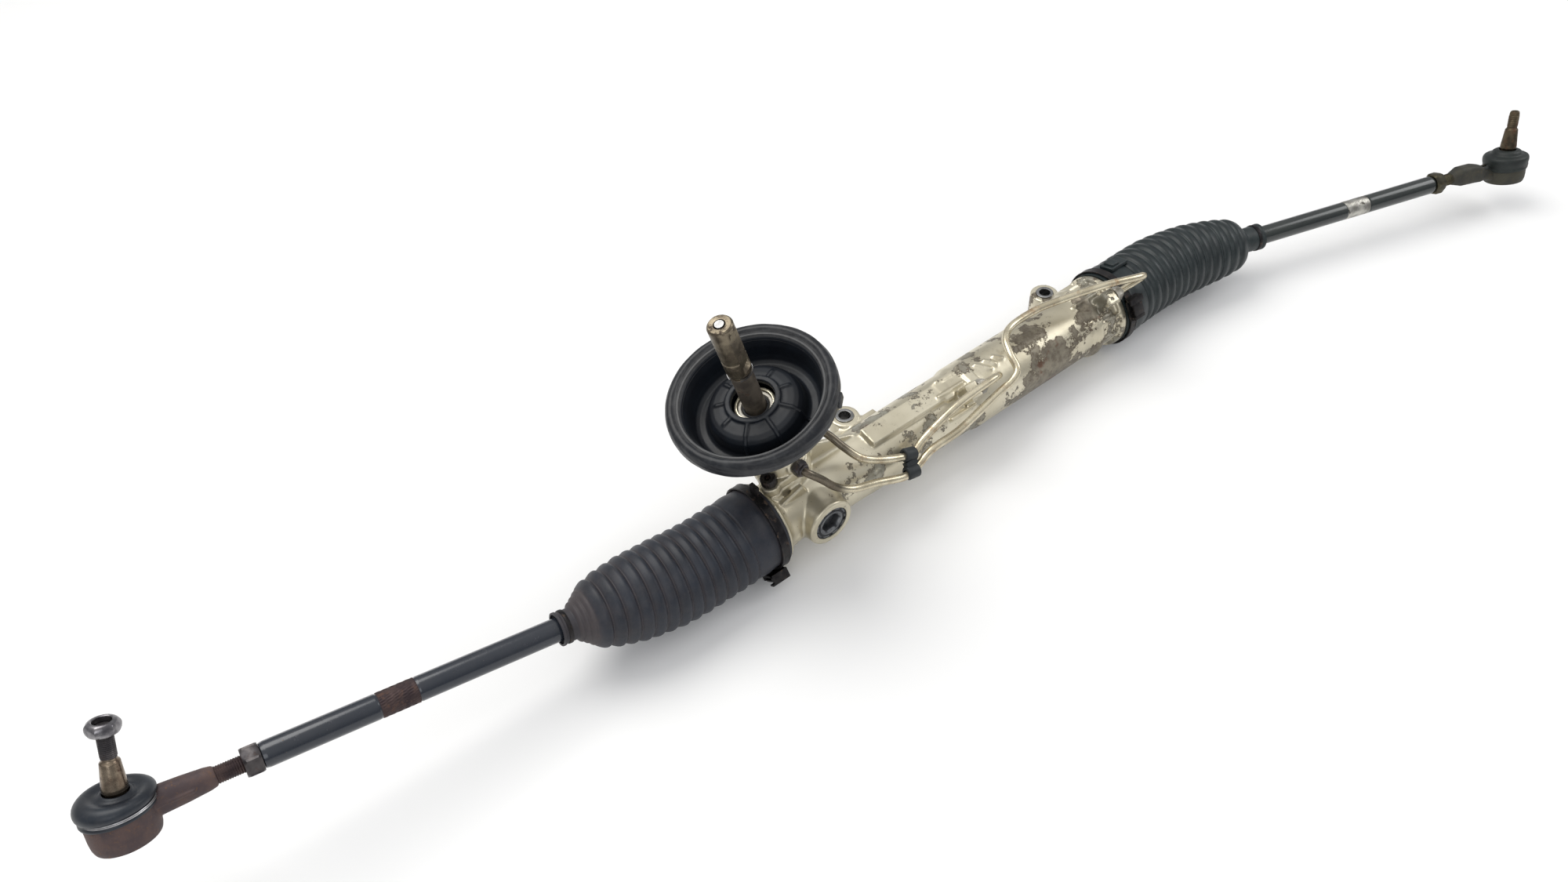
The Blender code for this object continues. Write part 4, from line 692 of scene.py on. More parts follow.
LOOKS = {
    "paint": cast_paint("silver_paint_flaked"),
    "paint_near": cast_paint("silver_paint_tower", thin=0.012),
    "bright": steel("bright_steel", srgb(178, 178, 180), srgb(132, 131, 132), srgb(104, 84, 66), 0.15),
    "nut": steel("nut_steel", srgb(150, 148, 150), srgb(92, 90, 94), srgb(70, 58, 50), 0.3, 0.28),
    "socket": steel("socket_steel", srgb(126, 128, 130), srgb(84, 86, 90), srgb(48, 44, 42), 0.4, 0.34),
    "satin": steel("satin_steel", srgb(184, 180, 170), srgb(146, 142, 134), srgb(96, 82, 66), 0.2, 0.46,
                   metallic=0.7),
    "ground": steel("ground_steel", srgb(160, 160, 160), srgb(124, 124, 124), srgb(96, 80, 64), 0.0, 0.24),
    "shaft": steel("shaft_steel", srgb(134, 124, 106), srgb(92, 84, 72), srgb(66, 54, 42), 0.62, 0.34),
    "neck": steel("shaft_neck_steel", srgb(118, 109, 98), srgb(84, 77, 70), srgb(84, 66, 52), 0.5, 0.46,
                  metallic=0.55),
    "taper": steel("stud_taper_steel", srgb(150, 136, 118), srgb(98, 84, 72), srgb(84, 60, 46), 0.4, 0.24),
    "rust_thread": steel("rusty_thread", srgb(78, 64, 62), srgb(58, 48, 50), srgb(84, 62, 54), 0.6, 0.55,
                         metallic=0.75),
    "dull": steel("dull_steel", srgb(90, 86, 86), srgb(62, 60, 62), srgb(76, 60, 54), 0.5, 0.42),
    "clamp": steel("clamp_steel", srgb(58, 56, 56), srgb(36, 35, 37), srgb(74, 60, 50), 0.5, 0.46),
    "olive_steel": steel("olive_steel", srgb(82, 78, 62), srgb(56, 54, 46), srgb(74, 56, 42), 0.6, 0.5),
    "old_stud": steel("old_stud_steel", srgb(92, 82, 66), srgb(60, 54, 45), srgb(84, 60, 42), 0.7, 0.46),
    "knurl": steel("bare_knurl", srgb(196, 194, 186), srgb(128, 126, 120), srgb(70, 66, 58), 0.55, 0.30),
    "rust_forging": forging("rusty_forging", srgb(88, 70, 66), srgb(70, 58, 60), srgb(104, 76, 56)),
    "olive_forging": forging("olive_forging", srgb(62, 60, 50), srgb(50, 50, 46), srgb(74, 64, 46)),
    "rod_left": rod_coat("rod_coat_left", srgb(30, 36, 46), srgb(38, 42, 50), srgb(74, 72, 78), 0.10),
    "rod_right": rod_coat("rod_coat_right", srgb(26, 32, 32), srgb(34, 40, 38), srgb(82, 82, 76), 0.02),
    "boot_left": rubber("boot_rubber_left", srgb(32, 37, 47), srgb(26, 30, 39), srgb(84, 75, 73), 0.7),
    "boot_right": rubber("boot_rubber_right", srgb(24, 33, 35), srgb(19, 27, 29), srgb(82, 90, 90), 0.5,
                         0.40),
    "dust_boot": rubber("dust_boot_rubber", srgb(30, 37, 46), srgb(23, 28, 36), srgb(78, 76, 76), 0.45,
                        0.38),
    "dust_boot_right": rubber("dust_boot_rubber_right", srgb(24, 31, 30), srgb(18, 23, 23), srgb(72, 76, 70),
                              0.45, 0.5),
    "rim": rubber("rim_rubber", srgb(20, 23, 29), srgb(14, 16, 21), srgb(112, 112, 112), 0.6, 0.40),
    "dish": moulded("dish_plastic", srgb(19, 24, 31), srgb(14, 17, 23), srgb(78, 82, 88), 0.46),
    "clip": moulded("clip_rubber", srgb(46, 50, 52), srgb(34, 38, 40), srgb(96, 96, 92), 0.5),
    "seat": moulded("seat_plastic", srgb(216, 213, 204), srgb(204, 200, 190), srgb(176, 170, 158), 0.5),
    "bronze": steel("bearing_bronze", srgb(180, 142, 92), srgb(150, 112, 70), srgb(110, 84, 56), 0.1, 0.36),
    "pipe": pipe_metal("pipe_plating"),
}


def dress(thing, body, look, nodes=()):
    """Give a piece its material, the body it moves with and the CAD nodes it stands for."""
    thing.data.materials.clear()
    thing.data.materials.append(LOOKS[look])
    if body:
        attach(thing, body)
    if nodes:
        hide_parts(*nodes)
    return thing


def paint_dust(thing, dust):
    """Keep a dust value from 0 to 1 on each point: one value, or a function of the millimetre point."""
    layer = thing.data.attributes.new("dust", "FLOAT", "POINT")
    values = [dust(v.co / MM) if callable(dust) else dust for v in thing.data.vertices]
    layer.data.foreach_set("value", np.array(values, np.float32))


def dress_rubber(thing, body, look, dust, nodes=()):
    """Give a rubber piece its dust, and what every piece gets."""
    paint_dust(thing, dust)
    dress(thing, body, look, nodes)


# ---------------------------------------------------------------- housing

def fill_housing(builder):
    """Outside of the rack tube, tower, bosses, lugs and ribs, as overlapping solids."""
    left, right = SPIGOT_ENDS
    outside = [
        (0.0, left), (31.4, left), (32.0, left + 0.8), (32.0, left + 14.0), (34.4, left + 14.4),
        (34.4, -37.6), (31.4, -36.4), (29.0, -32.0), (27.4, -22.0), (27.2, 40.0), (28.0, 66.0),
        (28.0, 168.0), (30.0, 174.0), (30.0, 316.0), (31.6, 320.0), (31.6, 322.6), (33.4, 323.0),
        (33.4, 328.0), (30.6, 328.8), (30.6, 350.4), (34.6, 351.0), (34.6, 357.0), (32.0, 357.4),
        (32.0, right), (0.0, right),
    ]
    add_lathe(builder, outside, RACK, 96)
    tower = [(0.0, -40.0), (15.6, -40.0), (17.0, -24.0), (21.0, -6.0), (21.0, 40.0), (0.0, 40.0)]
    add_lathe(builder, tower, PINION, 72)
    add_prism(builder, flange_outline(), 32.0, 40.0, PINION)
    boss = [(0.0, 6.0), (24.5, 6.0), (22.0, 26.0), (21.3, 30.0), (21.3, 34.6), (20.2, 36.0), (0.0, 36.0)]
    add_lathe(builder, boss, YOKE, 72)
    for lug_x in LUG_X:
        lug_outline = [(0.0, -12.0), (12.4, -12.0), (13.2, -11.0), (13.2, 11.0), (12.4, 12.0), (0.0, 12.0)]
        add_lathe(builder, lug_outline, lug_frame(lug_x), 64)
        add_box(builder, (24.0, 30.0, 19.0), moved(lug_x, 24.0, 0.0))
        for height in (-8.0, 8.0):
            add_box(builder, (52.0, 22.0, 3.2), moved(lug_x, 22.0, height))
    pad = rotated("X", 9.0)
    add_box(builder, (110.0, 18.5, 10.0), pad @ moved(119.0, 0.0, 26.6))
    add_box(builder, (10.0, 24.0, 11.0), pad @ moved(178.0, 0.0, 28.0))
    for place, turn, radius in PORT_BLOCKS:
        spin = Matrix.Rotation(turn, 4, "X")
        middle = (20.0 + radius + 5.0) / 2.0
        add_box(builder, (PORT_BLOCK_LENGTH, 14.0, radius + 5.0 - 20.0),
                spin @ moved(place, 0.0, middle))
        for offset in (-11.0, 11.0):
            add_box(builder, (30.0, 3.0, 6.0), spin @ moved(place - 12.0, offset, 29.5))
    for angle in range(-60, 241, 30):
        if 95 < angle < 200:
            continue
        spin = rotated("X", angle)
        add_box(builder, (28.0, 3.0, 4.6), spin @ moved(338.0, 0.0, 31.4))
    fin = axis_frame(Vector((0.0, 8.0, 0.0)), -Y_AXIS, X_AXIS)
    add_prism(builder, [(8.0, 20.0), (66.0, 22.0), (60.0, 28.5), (16.0, 47.0)], -2.4, 2.4, fin)
    web = axis_frame(Vector((0.0, -12.0, 0.0)), -Y_AXIS, X_AXIS)
    add_prism(builder, [(-30.0, 10.0), (0.0, 10.0), (-10.0, 34.0), (-31.0, 27.0)], -2.2, 2.2, web)
    for x, y, z, size in ((-27.0, -22.0, 9.0, 5.0), (-28.0, -25.5, -3.0, 4.0), (58.0, -25.0, 8.0, 5.0),
                          (88.0, -26.0, 12.0, 4.0)):
        stub = axis_frame(Vector((x, y, z)), Vector((0.0, y, z)))
        add_lathe(builder, [(0.0, -8.0), (size, -8.0), (size, 3.0), (size - 1.0, 4.0), (0.0, 4.0)], stub, 32)
    gusset = rotated("X", 10.0)
    add_box(builder, (9.0, 22.0, 8.0), gusset @ moved(150.0, 0.0, 28.0))
    add_box(builder, (26.0, 3.4, 9.0), gusset @ moved(162.0, 9.0, 28.5))
    for step in range(3):
        spin = rotated("X", 12.0) @ moved(196.0 + 9.0 * step, 0.0, 29.0)
        add_box(builder, (2.6, 16.0 - 3.0 * step, 5.0), spin @ rotated("Z", 38.0))


def flange_outline():
    """Outline of the tower's two-eared flange."""
    outline = []
    for angle in FLANGE_BOLTS:
        x = FLANGE_BOLT_RADIUS * math.cos(angle)
        y = FLANGE_BOLT_RADIUS * math.sin(angle)
        for step in range(13):
            turn = angle + math.radians(-90.0 + 15.0 * step)
            outline.append((x + 8.4 * math.cos(turn), y + 8.4 * math.sin(turn)))
        for spread in (60.0, 90.0, 120.0):
            side = angle + math.radians(spread)
            outline.append((24.0 * math.cos(side), 24.0 * math.sin(side)))
    return outline


def housing():
    """Main casting, fused and softened, then bored."""
    builder = bmesh.new()
    fill_housing(builder)
    body = settle(make_piece("housing_casting", builder), 1.2, 3)
    rack_bore = [(0.0, -60.0), (20.0, -60.0), (20.0, -38.0), (13.5, -38.0), (13.5, 61.0), (15.5, 61.0),
                 (15.5, 166.0), (20.0, 166.0), (20.0, 380.0), (0.0, 380.0)]
    pinion_bore = [(0.0, -46.0), (12.3, -46.0), (12.3, -33.0), (10.4, -32.0), (10.4, 17.6), (17.3, 17.6),
                   (17.3, 46.0), (0.0, 46.0)]
    yoke_bore = [(0.0, 3.1), (17.5, 3.1), (17.5, 27.0), (15.6, 29.0), (15.6, 36.0), (16.4, 38.0),
                 (0.0, 38.0)]
    lug_bore = [(0.0, -20.0), (8.3, -20.0), (8.3, 20.0), (0.0, 20.0)]
    bores = [(rack_bore, RACK), (pinion_bore, PINION), (yoke_bore, YOKE)]
    bores += [(lug_bore, lug_frame(lug_x)) for lug_x in LUG_X]
    for profile, place in bores:
        carve(body, lathe_piece("bore", profile, place, 64, 0.0))
    dress(body, "housing", "paint", ("pinion_housing", "cylinder_tube"))


def valve_cover():
    """Top of the tower with its flange and pipe ports."""
    builder = bmesh.new()
    outside = [
        (0.0, COVER_LOW), (21.0, COVER_LOW), (21.0, 62.0), (21.6, 64.0), (21.6, 68.0), (21.0, 70.0),
        (21.0, 86.2), (19.4, 88.0), (16.2, 90.0), (16.2, 118.0), (15.4, 119.0), (0.0, 119.0),
    ]
    add_lathe(builder, outside, PINION, 72)
    add_prism(builder, flange_outline(), COVER_LOW, COVER_LOW + 8.0, PINION)
    for port in TOWER_PORTS:
        add_lathe(builder, [(0.0, 8.0), (9.0, 8.0), (8.4, 21.5), (7.6, PORT_FACE), (0.0, PORT_FACE)],
                  tower_port_frame(port), 40)
    blank = tower_port_frame((60.0, math.radians(-48.0)))
    add_lathe(builder, [(0.0, 8.0), (7.0, 8.0), (6.4, 20.4), (5.6, 21.4), (0.0, 21.4)], blank, 40)
    cover = settle(make_piece("valve_cover_casting", builder), 0.9, 2)
    bore = [(0.0, 38.0), (17.3, 38.0), (17.3, 43.0), (13.9, 43.0), (13.9, 122.0), (0.0, 122.0)]
    carve(cover, lathe_piece("bore_cover", bore, PINION, 64, 0.0))
    dress(cover, "housing", "paint_near", ("valve_cover",))


def flange_bolt(index):
    """Socket-head bolt with a knurled head and a real hexagon socket."""
    angle = FLANGE_BOLTS[index]
    place = PINION @ Matrix.Translation((FLANGE_BOLT_RADIUS * math.cos(angle),
                                         FLANGE_BOLT_RADIUS * math.sin(angle), 0.0))
    low = 48.6
    high = low + 7.5
    rows = ((0.0, 25.0, 0), (4.0, 25.0, 0), (4.0, low, 0), (6.2, low, 0), (6.45, low + 0.5, 1),
            (6.45, high - 1.0, 1), (5.9, high, 0), (3.7, high, 0), (2.6, high - 0.5, 2),
            (2.6, high - 4.5, 2), (0.0, high - 5.5, 0))

    def shape(k, turn, radius, kind):
        if kind == 2:
            return hex_radius(turn, 5.2), 0.0
        return radius - (0.28 if kind == 1 and k % 3 == 0 else 0.0), 0.0

    builder = bmesh.new()
    add_shaped(builder, rows, 72, shape, place)
    name = ("cover_bolt_front", "cover_bolt_rear")[index]
    dress(make_piece(name + "_detailed", builder), "housing", "clamp", (name,))


def yoke_plug():
    """Screwed plug with a hexagon socket, a raised rim and staking marks."""
    rows = ((0.0, 26.6, 0), (15.1, 26.6, 0), (15.1, 34.6, 0), (14.7, 35.3, 1), (13.4, 35.3, 1),
            (13.0, 34.0, 0), (11.9, 34.2, 0), (11.5, 35.4, 0), (9.6, 35.4, 0), (8.6, 34.9, 2),
            (8.0, 33.8, 2), (7.9, 28.4, 2), (0.0, 27.9, 0))

    def shape(k, turn, radius, kind):
        reach = hex_radius(turn, 2.0 * radius) if kind == 2 else radius
        return reach, 1.8 if kind == 1 and (k // 5) % 3 == 0 else 0.0

    def wobble(angle, height, radius):
        return 0.10 * math.sin(angle * 17.0) * math.sin(angle * 5.0 + 1.0)

    builder = bmesh.new()
    add_shaped(builder, rows, 144, shape, YOKE)
    dress(make_piece("yoke_plug_detailed", builder), "housing", "socket", ("yoke_plug",))
    # Two dark rings at the plug's face: the inner one is black sealant in the plug's groove; the outer one
    # is painted shade, a dark band laid in the gap between the plug and the boss.
    for name, inner, outer, top in (("outer", 15.0, 16.1, 35.2), ("inner", 11.8, 13.1, 34.9)):
        outline = [(inner, 33.4), (outer, 33.4), (outer, top), (inner, top), (inner, 33.5)]
        gap = lathe_piece("yoke_sealant_and_gap_shade_" + name, outline, YOKE, 96, 0.2, ripple=wobble)
        dress_rubber(gap, "housing", "rim", 0.1)


def small_turned_parts():
    """Sleeves, bottom cap and the metal-faced shaft seal."""
    for side, lug_x in zip(SIDES, LUG_X):
        wall = [(5.2, -13.0), (8.0, -13.0), (8.0, 13.0), (5.2, 13.0), (5.2, 0.0), (5.2, -12.9)]
        sleeve = lathe_piece("sleeve_" + side, wall, lug_frame(lug_x), 64, 0.4)
        dress(sleeve, "housing", "ground", ("mount_sleeve_" + side,))
    cap = lathe_piece("bottom_cap", [(0.0, -33.3), (12.0, -33.3), (12.0, -39.4), (11.2, -40.0), (6.0, -40.0),
                                     (5.4, -38.4), (0.0, -38.4)], PINION, 64, 0.4)
    dress(cap, "housing", "dull", ("pinion_bottom_cap",))
    case = [(10.4, 110.0), (13.5, 110.0), (13.5, 117.0), (11.2, 117.0), (10.4, 115.6), (10.4, 110.1)]
    seal = lathe_piece("seal_case", case, PINION, 64, 0.4)
    dress(seal, "housing", "satin", ("shaft_seal",))
    lip = lathe_piece("seal_lip", [(8.8, 111.0), (10.3, 111.0), (10.3, 115.4), (9.0, 116.2), (8.8, 111.1)],
                      PINION, 64, 0.2)
    dress_rubber(lip, "housing", "rim", 0.4)


# ---------------------------------------------------------------- dish and shaft

def dish():
    """Moulded bowl with a hub, short and long ribs, and fins behind it."""
    hub = DISH_HUB_TOP
    edge = DISH_RIM_TOP
    bowl = [
        (17.0, hub - 5.0), (17.0, hub - 0.6), (17.6, hub), (20.8, hub), (21.5, hub - 0.7), (21.6, hub - 2.6),
        (26.0, hub - 3.0), (31.0, hub - 4.0), (34.0, hub - 5.6), (36.4, hub - 8.6), (37.8, hub - 13.0),
        (38.8, hub - 17.0), (40.8, hub - 19.0), (45.6, hub - 19.0), (48.6, hub - 17.2), (50.2, hub - 12.6),
        (51.4, hub - 4.0), (53.4, edge - 1.8), (55.4, edge), (60.0, edge), (60.0, edge - 3.0),
        (56.6, edge - 3.4), (54.6, edge - 6.0), (53.4, hub - 13.0), (50.6, hub - 20.6), (46.6, hub - 22.0),
        (39.6, hub - 22.0),
        (36.4, hub - 19.0), (34.4, hub - 12.0), (31.6, hub - 8.4), (25.0, hub - 7.5), (25.0, 81.0),
        (21.4, 81.0), (21.4, hub - 5.0),
    ]
    short_rib = [
        (19.0, hub - 4.0), (19.0, hub - 0.6), (28.6, hub - 2.0), (30.2, hub - 3.4), (29.0, hub - 5.6),
    ]
    long_rib = [
        (19.0, hub - 4.0), (19.0, hub - 0.6), (32.0, hub - 2.6), (37.6, hub - 7.0), (39.8, hub - 14.0),
        (41.6, hub - 16.8), (45.4, hub - 16.8), (51.0, hub - 8.0), (52.6, hub - 12.0), (48.0, hub - 20.0),
        (38.0, hub - 20.0), (34.5, hub - 9.0), (31.0, hub - 6.0),
    ]
    back_fin = [(24.0, 84.0), (24.0, hub - 8.0), (36.0, hub - 17.0), (40.0, hub - 20.0), (38.0, hub - 23.0)]
    upright = rotated("X", 90.0)
    builder = bmesh.new()
    add_lathe(builder, bowl, PINION, 144)
    for k in range(9):
        spin = PINION @ rotated("Z", 20.0 + 40.0 * k)
        add_prism(builder, long_rib if k in (5, 6, 7) else short_rib, -1.2, 1.2, spin @ upright)
    for k in range(6):
        spin = PINION @ rotated("Z", 15.0 + 60.0 * k)
        add_prism(builder, back_fin, -1.1, 1.1, spin @ upright)
    thing = settle(make_piece("dish_moulding", builder), 0.7, 1)
    dress(thing, "housing", "dish", ("bulkhead_dish",))


def rim():
    """Thick rubber rim with a stepped lip and a small tab."""
    top = DISH_RIM_TOP
    rubber_profile = [
        (55.8, top + 0.3), (57.4, top + 1.0), (58.2, top + 2.6), (60.0, top + 3.5), (62.2, top + 3.3),
        (64.2, top + 2.0), (65.6, top - 0.4), (66.2, top - 3.6), (66.0, top - 7.2), (64.9, top - 10.6),
        (62.9, top - 12.8), (60.6, top - 13.2), (58.7, top - 11.6), (57.9, top - 8.4), (57.5, top - 4.6),
        (60.3, top - 3.3), (60.3, top + 0.3),
    ]
    local = PINION.inverted()

    def uneven(angle, height, radius):
        return 0.16 * math.sin(angle * 7.0 + height) + 0.10 * math.sin(angle * 23.0 + 2.0 * height)

    def dust(point):
        place = local @ point
        radius = math.hypot(place.x, place.y)
        lip = max(0.0, 1.0 - abs(radius - 57.6) / 1.4) * (1.0 if place.z > top - 1.0 else 0.3)
        return min(1.0, 0.75 * lip + 0.14)

    thing = lathe_piece("rim_rubber", rubber_profile, PINION, 180, 0.9, ripple=uneven, smooth_angle=50.0)
    dress_rubber(thing, "housing", "rim", dust, ("bulkhead_rim",))
    inner = lathe_piece("rim_inner_lip", [(52.9, top - 3.4), (53.9, top - 1.6), (55.2, top + 0.9),
                                          (56.6, top + 0.9), (56.9, top + 0.2), (55.4, top + 0.15),
                                          (54.1, top - 1.4), (53.2, top - 3.7)], PINION, 144, 0.0)
    dress_rubber(inner, "housing", "rim", 0.75)
    builder = bmesh.new()
    spin = PINION @ rotated("Z", -50.0)
    add_box(builder, (5.0, 11.0, 7.0), spin @ moved(65.0, 0.0, top - 8.0))
    tab = make_piece("rim_tab", builder)
    bevel(tab, 1.2, 3)
    dress_rubber(tab, "housing", "rim", 0.3)


def input_shaft():
    """Stepped shaft with a milled flat, a groove round its head and a centre drilling."""
    profile = rounded([
        (3.8, 34.3), (9.5, 34.3), (9.5, 74.0), (8.6, 76.0), (8.6, 159.0), (7.6, 159.1), (7.6, 160.9),
        (8.6, 161.0), (9.6, 162.4), (9.6, 176.0), (9.3, 176.4), (9.3, 178.6), (9.6, 179.0),
        (9.6, 210.8), (8.4, 212.4), (4.4, 212.4), (4.0, 211.4), (3.8, 211.2), (3.8, 120.0), (3.8, 34.4),
    ], 0.35)
    fine = []
    for (r0, h0), (r1, h1) in zip(profile, profile[1:]):
        count = max(1, int(abs(h1 - h0) / 3.0))
        fine += [(r0 + (r1 - r0) * k / count, h0 + (h1 - h0) * k / count) for k in range(count)]
    fine.append(profile[-1])

    def flat(angle, height, radius):
        if not 168.0 <= height <= 206.0 or radius < 8.8:
            return 0.0
        facing = math.cos(angle - SHAFT_FLAT)
        if facing * radius <= 7.2:
            return 0.0
        return 7.2 / facing - radius

    whole = lathe_piece("shaft_turned", fine, PINION, 144, 0.0, ripple=flat, smooth_angle=28.0)
    dress(whole, "input_shaft", "shaft", ("input_shaft",))
    whole.data.materials.append(LOOKS["neck"])
    local = PINION.inverted()
    for face in whole.data.polygons:
        height = (local @ (face.center / MM)).z
        face.material_index = 1 if height < 158.0 else 0
    builder = bmesh.new()
    rings = []
    for k in range(60):
        angle = math.radians(25.0 + 310.0 * k / 59)
        ear = 1.0 + 0.9 * max(0.0, (abs(k - 29.5) - 25.0) / 4.5)
        inner, outer = 7.8, 9.3 + 0.5 * ear
        rings.append([(inner * math.cos(angle), inner * math.sin(angle), 159.4),
                      (outer * math.cos(angle), outer * math.sin(angle), 159.4),
                      (outer * math.cos(angle), outer * math.sin(angle), 160.6),
                      (inner * math.cos(angle), inner * math.sin(angle), 160.6)])
    add_rings(builder, rings, place=PINION @ rotated("Z", -150.0))
    dress(make_piece("circlip_spring", builder), "input_shaft", "bright", ("shaft_circlip",))


# ---------------------------------------------------------------- hydraulic pipes

def pipe_routes():
    """Centre lines of the two pipes, from the valve's ports to the cylinder's."""
    reach = PORT_FACE + NUT_LENGTH + 2.0
    starts = []
    for port in TOWER_PORTS:
        place = tower_port_frame(port)
        starts.append([place @ Vector((0.0, 0.0, PORT_FACE + 3.0)), place @ Vector((0.0, 0.0, reach))])
    long_places = (
        (-1.0, -24.5, 44.0), (10.0, -29.5, 31.0), (24.0, -34.0, 22.0), (45.0, -38.0, 17.0),
        (70.0, -43.0, 10.0), (84.0, -43.0, 11.0), (104.0, -41.0, 18.0), (136.0, -41.0, 20.0),
        (180.0, -37.5, 28.0), (200.0, -37.0, 33.0), (209.0, -33.0, 38.0), (213.0, -20.0, 44.0),
        (222.0, -6.0, 47.0), (238.0, 2.0, 46.5), (264.0, 3.0, 46.5), (284.0, -1.0, 48.0),
        (330.0, -18.0, 53.0), (366.0, -28.0, 49.5), (376.0, -28.0, 46.5), (379.0, -25.5, 42.0),
        (374.0, -23.0, 38.4),
    )
    short_places = (
        (28.0, 1.0, 54.0), (34.0, -10.0, 45.0), (42.0, -22.0, 36.0), (56.0, -29.0, 29.0),
        (78.0, -34.0, 21.0), (90.0, -34.5, 20.0), (104.0, -33.0, 27.0), (140.0, -31.5, 38.0),
        (176.0, -31.0, 41.0), (189.0, -29.5, 39.0), (193.0, -27.0, 35.5), (190.0, -24.0, 31.8),
    )
    routes = []
    for start, places, port in ((starts[0], long_places, PORT_BLOCKS[1]),
                                (starts[1], short_places, PORT_BLOCKS[0])):
        face = block_port_frame(port).translation
        route = start + [Vector(p) for p in places]
        route += [face + X_AXIS * (NUT_LENGTH + 4.0), face + X_AXIS * 3.0]
        routes.append(route)
    return routes


def pipes():
    """Bent pipes with round bends, and a flare nut at each end."""
    long_route, short_route = pipe_routes()
    for node, route in (("pipe_to_far_port", long_route), ("pipe_to_near_port", short_route)):
        builder = bmesh.new()
        add_rings(builder, sweep_rings(smooth_route(route, 2.0), PIPE_RADIUS, 28))
        tube = make_piece(node + "_tube", builder)

        def grime(point, first=route[0]):
            return max(0.0, min(1.0, (50.0 - (point - first).length) / 12.0))

        paint_dust(tube, grime)
        dress(tube, "housing", "pipe", (node,))
    places = (("pipe_nut_valve_front", tower_port_frame(TOWER_PORTS[0]), PORT_FACE + 0.3),
              ("pipe_nut_valve_rear", tower_port_frame(TOWER_PORTS[1]), PORT_FACE + 0.3),
              ("pipe_nut_near_port", block_port_frame(PORT_BLOCKS[0]), 0.3),
              ("pipe_nut_far_port", block_port_frame(PORT_BLOCKS[1]), 0.3))
    for node, place, low in places:
        builder = bmesh.new()
        add_hex_nut(builder, 12.0, PIPE_RADIUS, low, low + NUT_LENGTH - 2.0, place, 0.9)
        collar = [(PIPE_RADIUS, low + 6.4), (5.2, low + 6.4), (5.0, low + 8.4), (4.4, low + 9.0),
                  (PIPE_RADIUS, low + 9.0)]
        add_lathe(builder, collar, place, 48)
        dress(make_piece(node + "_flare", builder), "housing", "dull" if "valve" in node else "satin",
              (node,))


def pipe_clip():
    """Two moulded rings joined side by side round the pipes."""
    short_centre = Vector((84.0, -34.4, 20.3))
    long_centre = Vector((79.5, -43.2, 10.2))
    builder = bmesh.new()
    ring = rounded([(3.2, -6.0), (4.6, -6.2), (5.9, -5.2), (5.9, 5.2), (4.6, 6.2), (3.2, 6.0), (3.2, 0.0),
                    (3.2, -5.9)], 0.8)
    for centre, fall in ((short_centre, -0.35), (long_centre, -0.12)):
        add_lathe(builder, ring, axis_frame(centre, Vector((1.0, -0.10, fall))), 48)
    middle = (short_centre + long_centre) / 2.0
    link = axis_frame(middle, X_AXIS, short_centre - long_centre)
    add_box(builder, (4.6, 6.0, 11.0), link)
    dress(make_piece("pipe_clip_moulding", builder), "housing", "clip", ("pipe_clip",))


# ---------------------------------------------------------------- boots

def boot_line(index):
    """Centre line of a boot by its length: a bend, then straight along the tie rod."""
    outward = -1.0 if index == 0 else 1.0
    direction = ROD_DIRECTIONS[index]
    ball = Vector((BALL_X[index], 0.0, 0.0))
    start = Vector((SPIGOT_ENDS[index] - outward * BOOT_OVERLAP, 0.0, 0.0))
    turned = ball + direction * STRAIGHT_FROM
    reach = (turned - start).length * 0.42
    first = start + X_AXIS * (outward * reach)
    second = turned - direction * reach
    points = []
    for k in range(121):
        t = k / 120
        s = 1.0 - t
        points.append(start * s ** 3 + first * (3 * s * s * t) + second * (3 * s * t * t) + turned * t ** 3)
    for k in range(1, 61):
        points.append(turned + direction * ((BOOT_END - STRAIGHT_FROM) * k / 60))
    return points


def boot_profile(index, t):
    """Outer radius and dust of a boot at a share of its length."""
    if index == 0:
        first, last, depth = 0.165, 0.875, 3.7
        tip = np.interp(t, (0.165, 0.30, 0.50, 0.66, 0.78, 0.875), (35.6, 35.4, 36.2, 34.4, 30.2, 24.4))
    else:
        first, last, depth = 0.150, 0.865, 3.2
        tip = np.interp(t, (0.150, 0.40, 0.60, 0.72, 0.80, 0.865), (35.0, 34.9, 33.0, 30.4, 27.8, 24.2))
    if t < 0.045:
        return 35.3, 0.35
    if t < 0.062:
        return 34.8, 0.5
    if t < first:
        hump = 0.9 * math.sin(math.pi * (t - 0.062) / (first - 0.062)) ** 2
        return 34.7 + hump, 0.22
    if t < last:
        phase = (t - first) / (last - first) * BOOT_FOLDS
        wave = abs(math.sin(math.pi * phase)) ** 0.42
        lean = 0.35 * math.sin(math.tau * phase)
        dust = 0.10 + 0.85 * (1.0 - wave) ** 1.2 + (0.35 * max(0.0, t - 0.5) if index == 0 else 0.0)
        return tip - depth * (1.0 - wave) + lean, dust
    cone_end = 0.935 if index == 0 else 0.905
    if t < cone_end:
        u = (t - last) / (cone_end - last)
        ripple = 1.5 * abs(math.sin(math.pi * 3.0 * u)) if index == 0 else 0.0
        return (tip - 3.0) + (12.6 - tip + 3.0) * u ** 0.85 + ripple, 0.95 if index == 0 else 0.5
    ring = 0.8 if t > 0.988 else 0.0
    return 12.2 + ring, 0.6 if index == 0 else 0.35


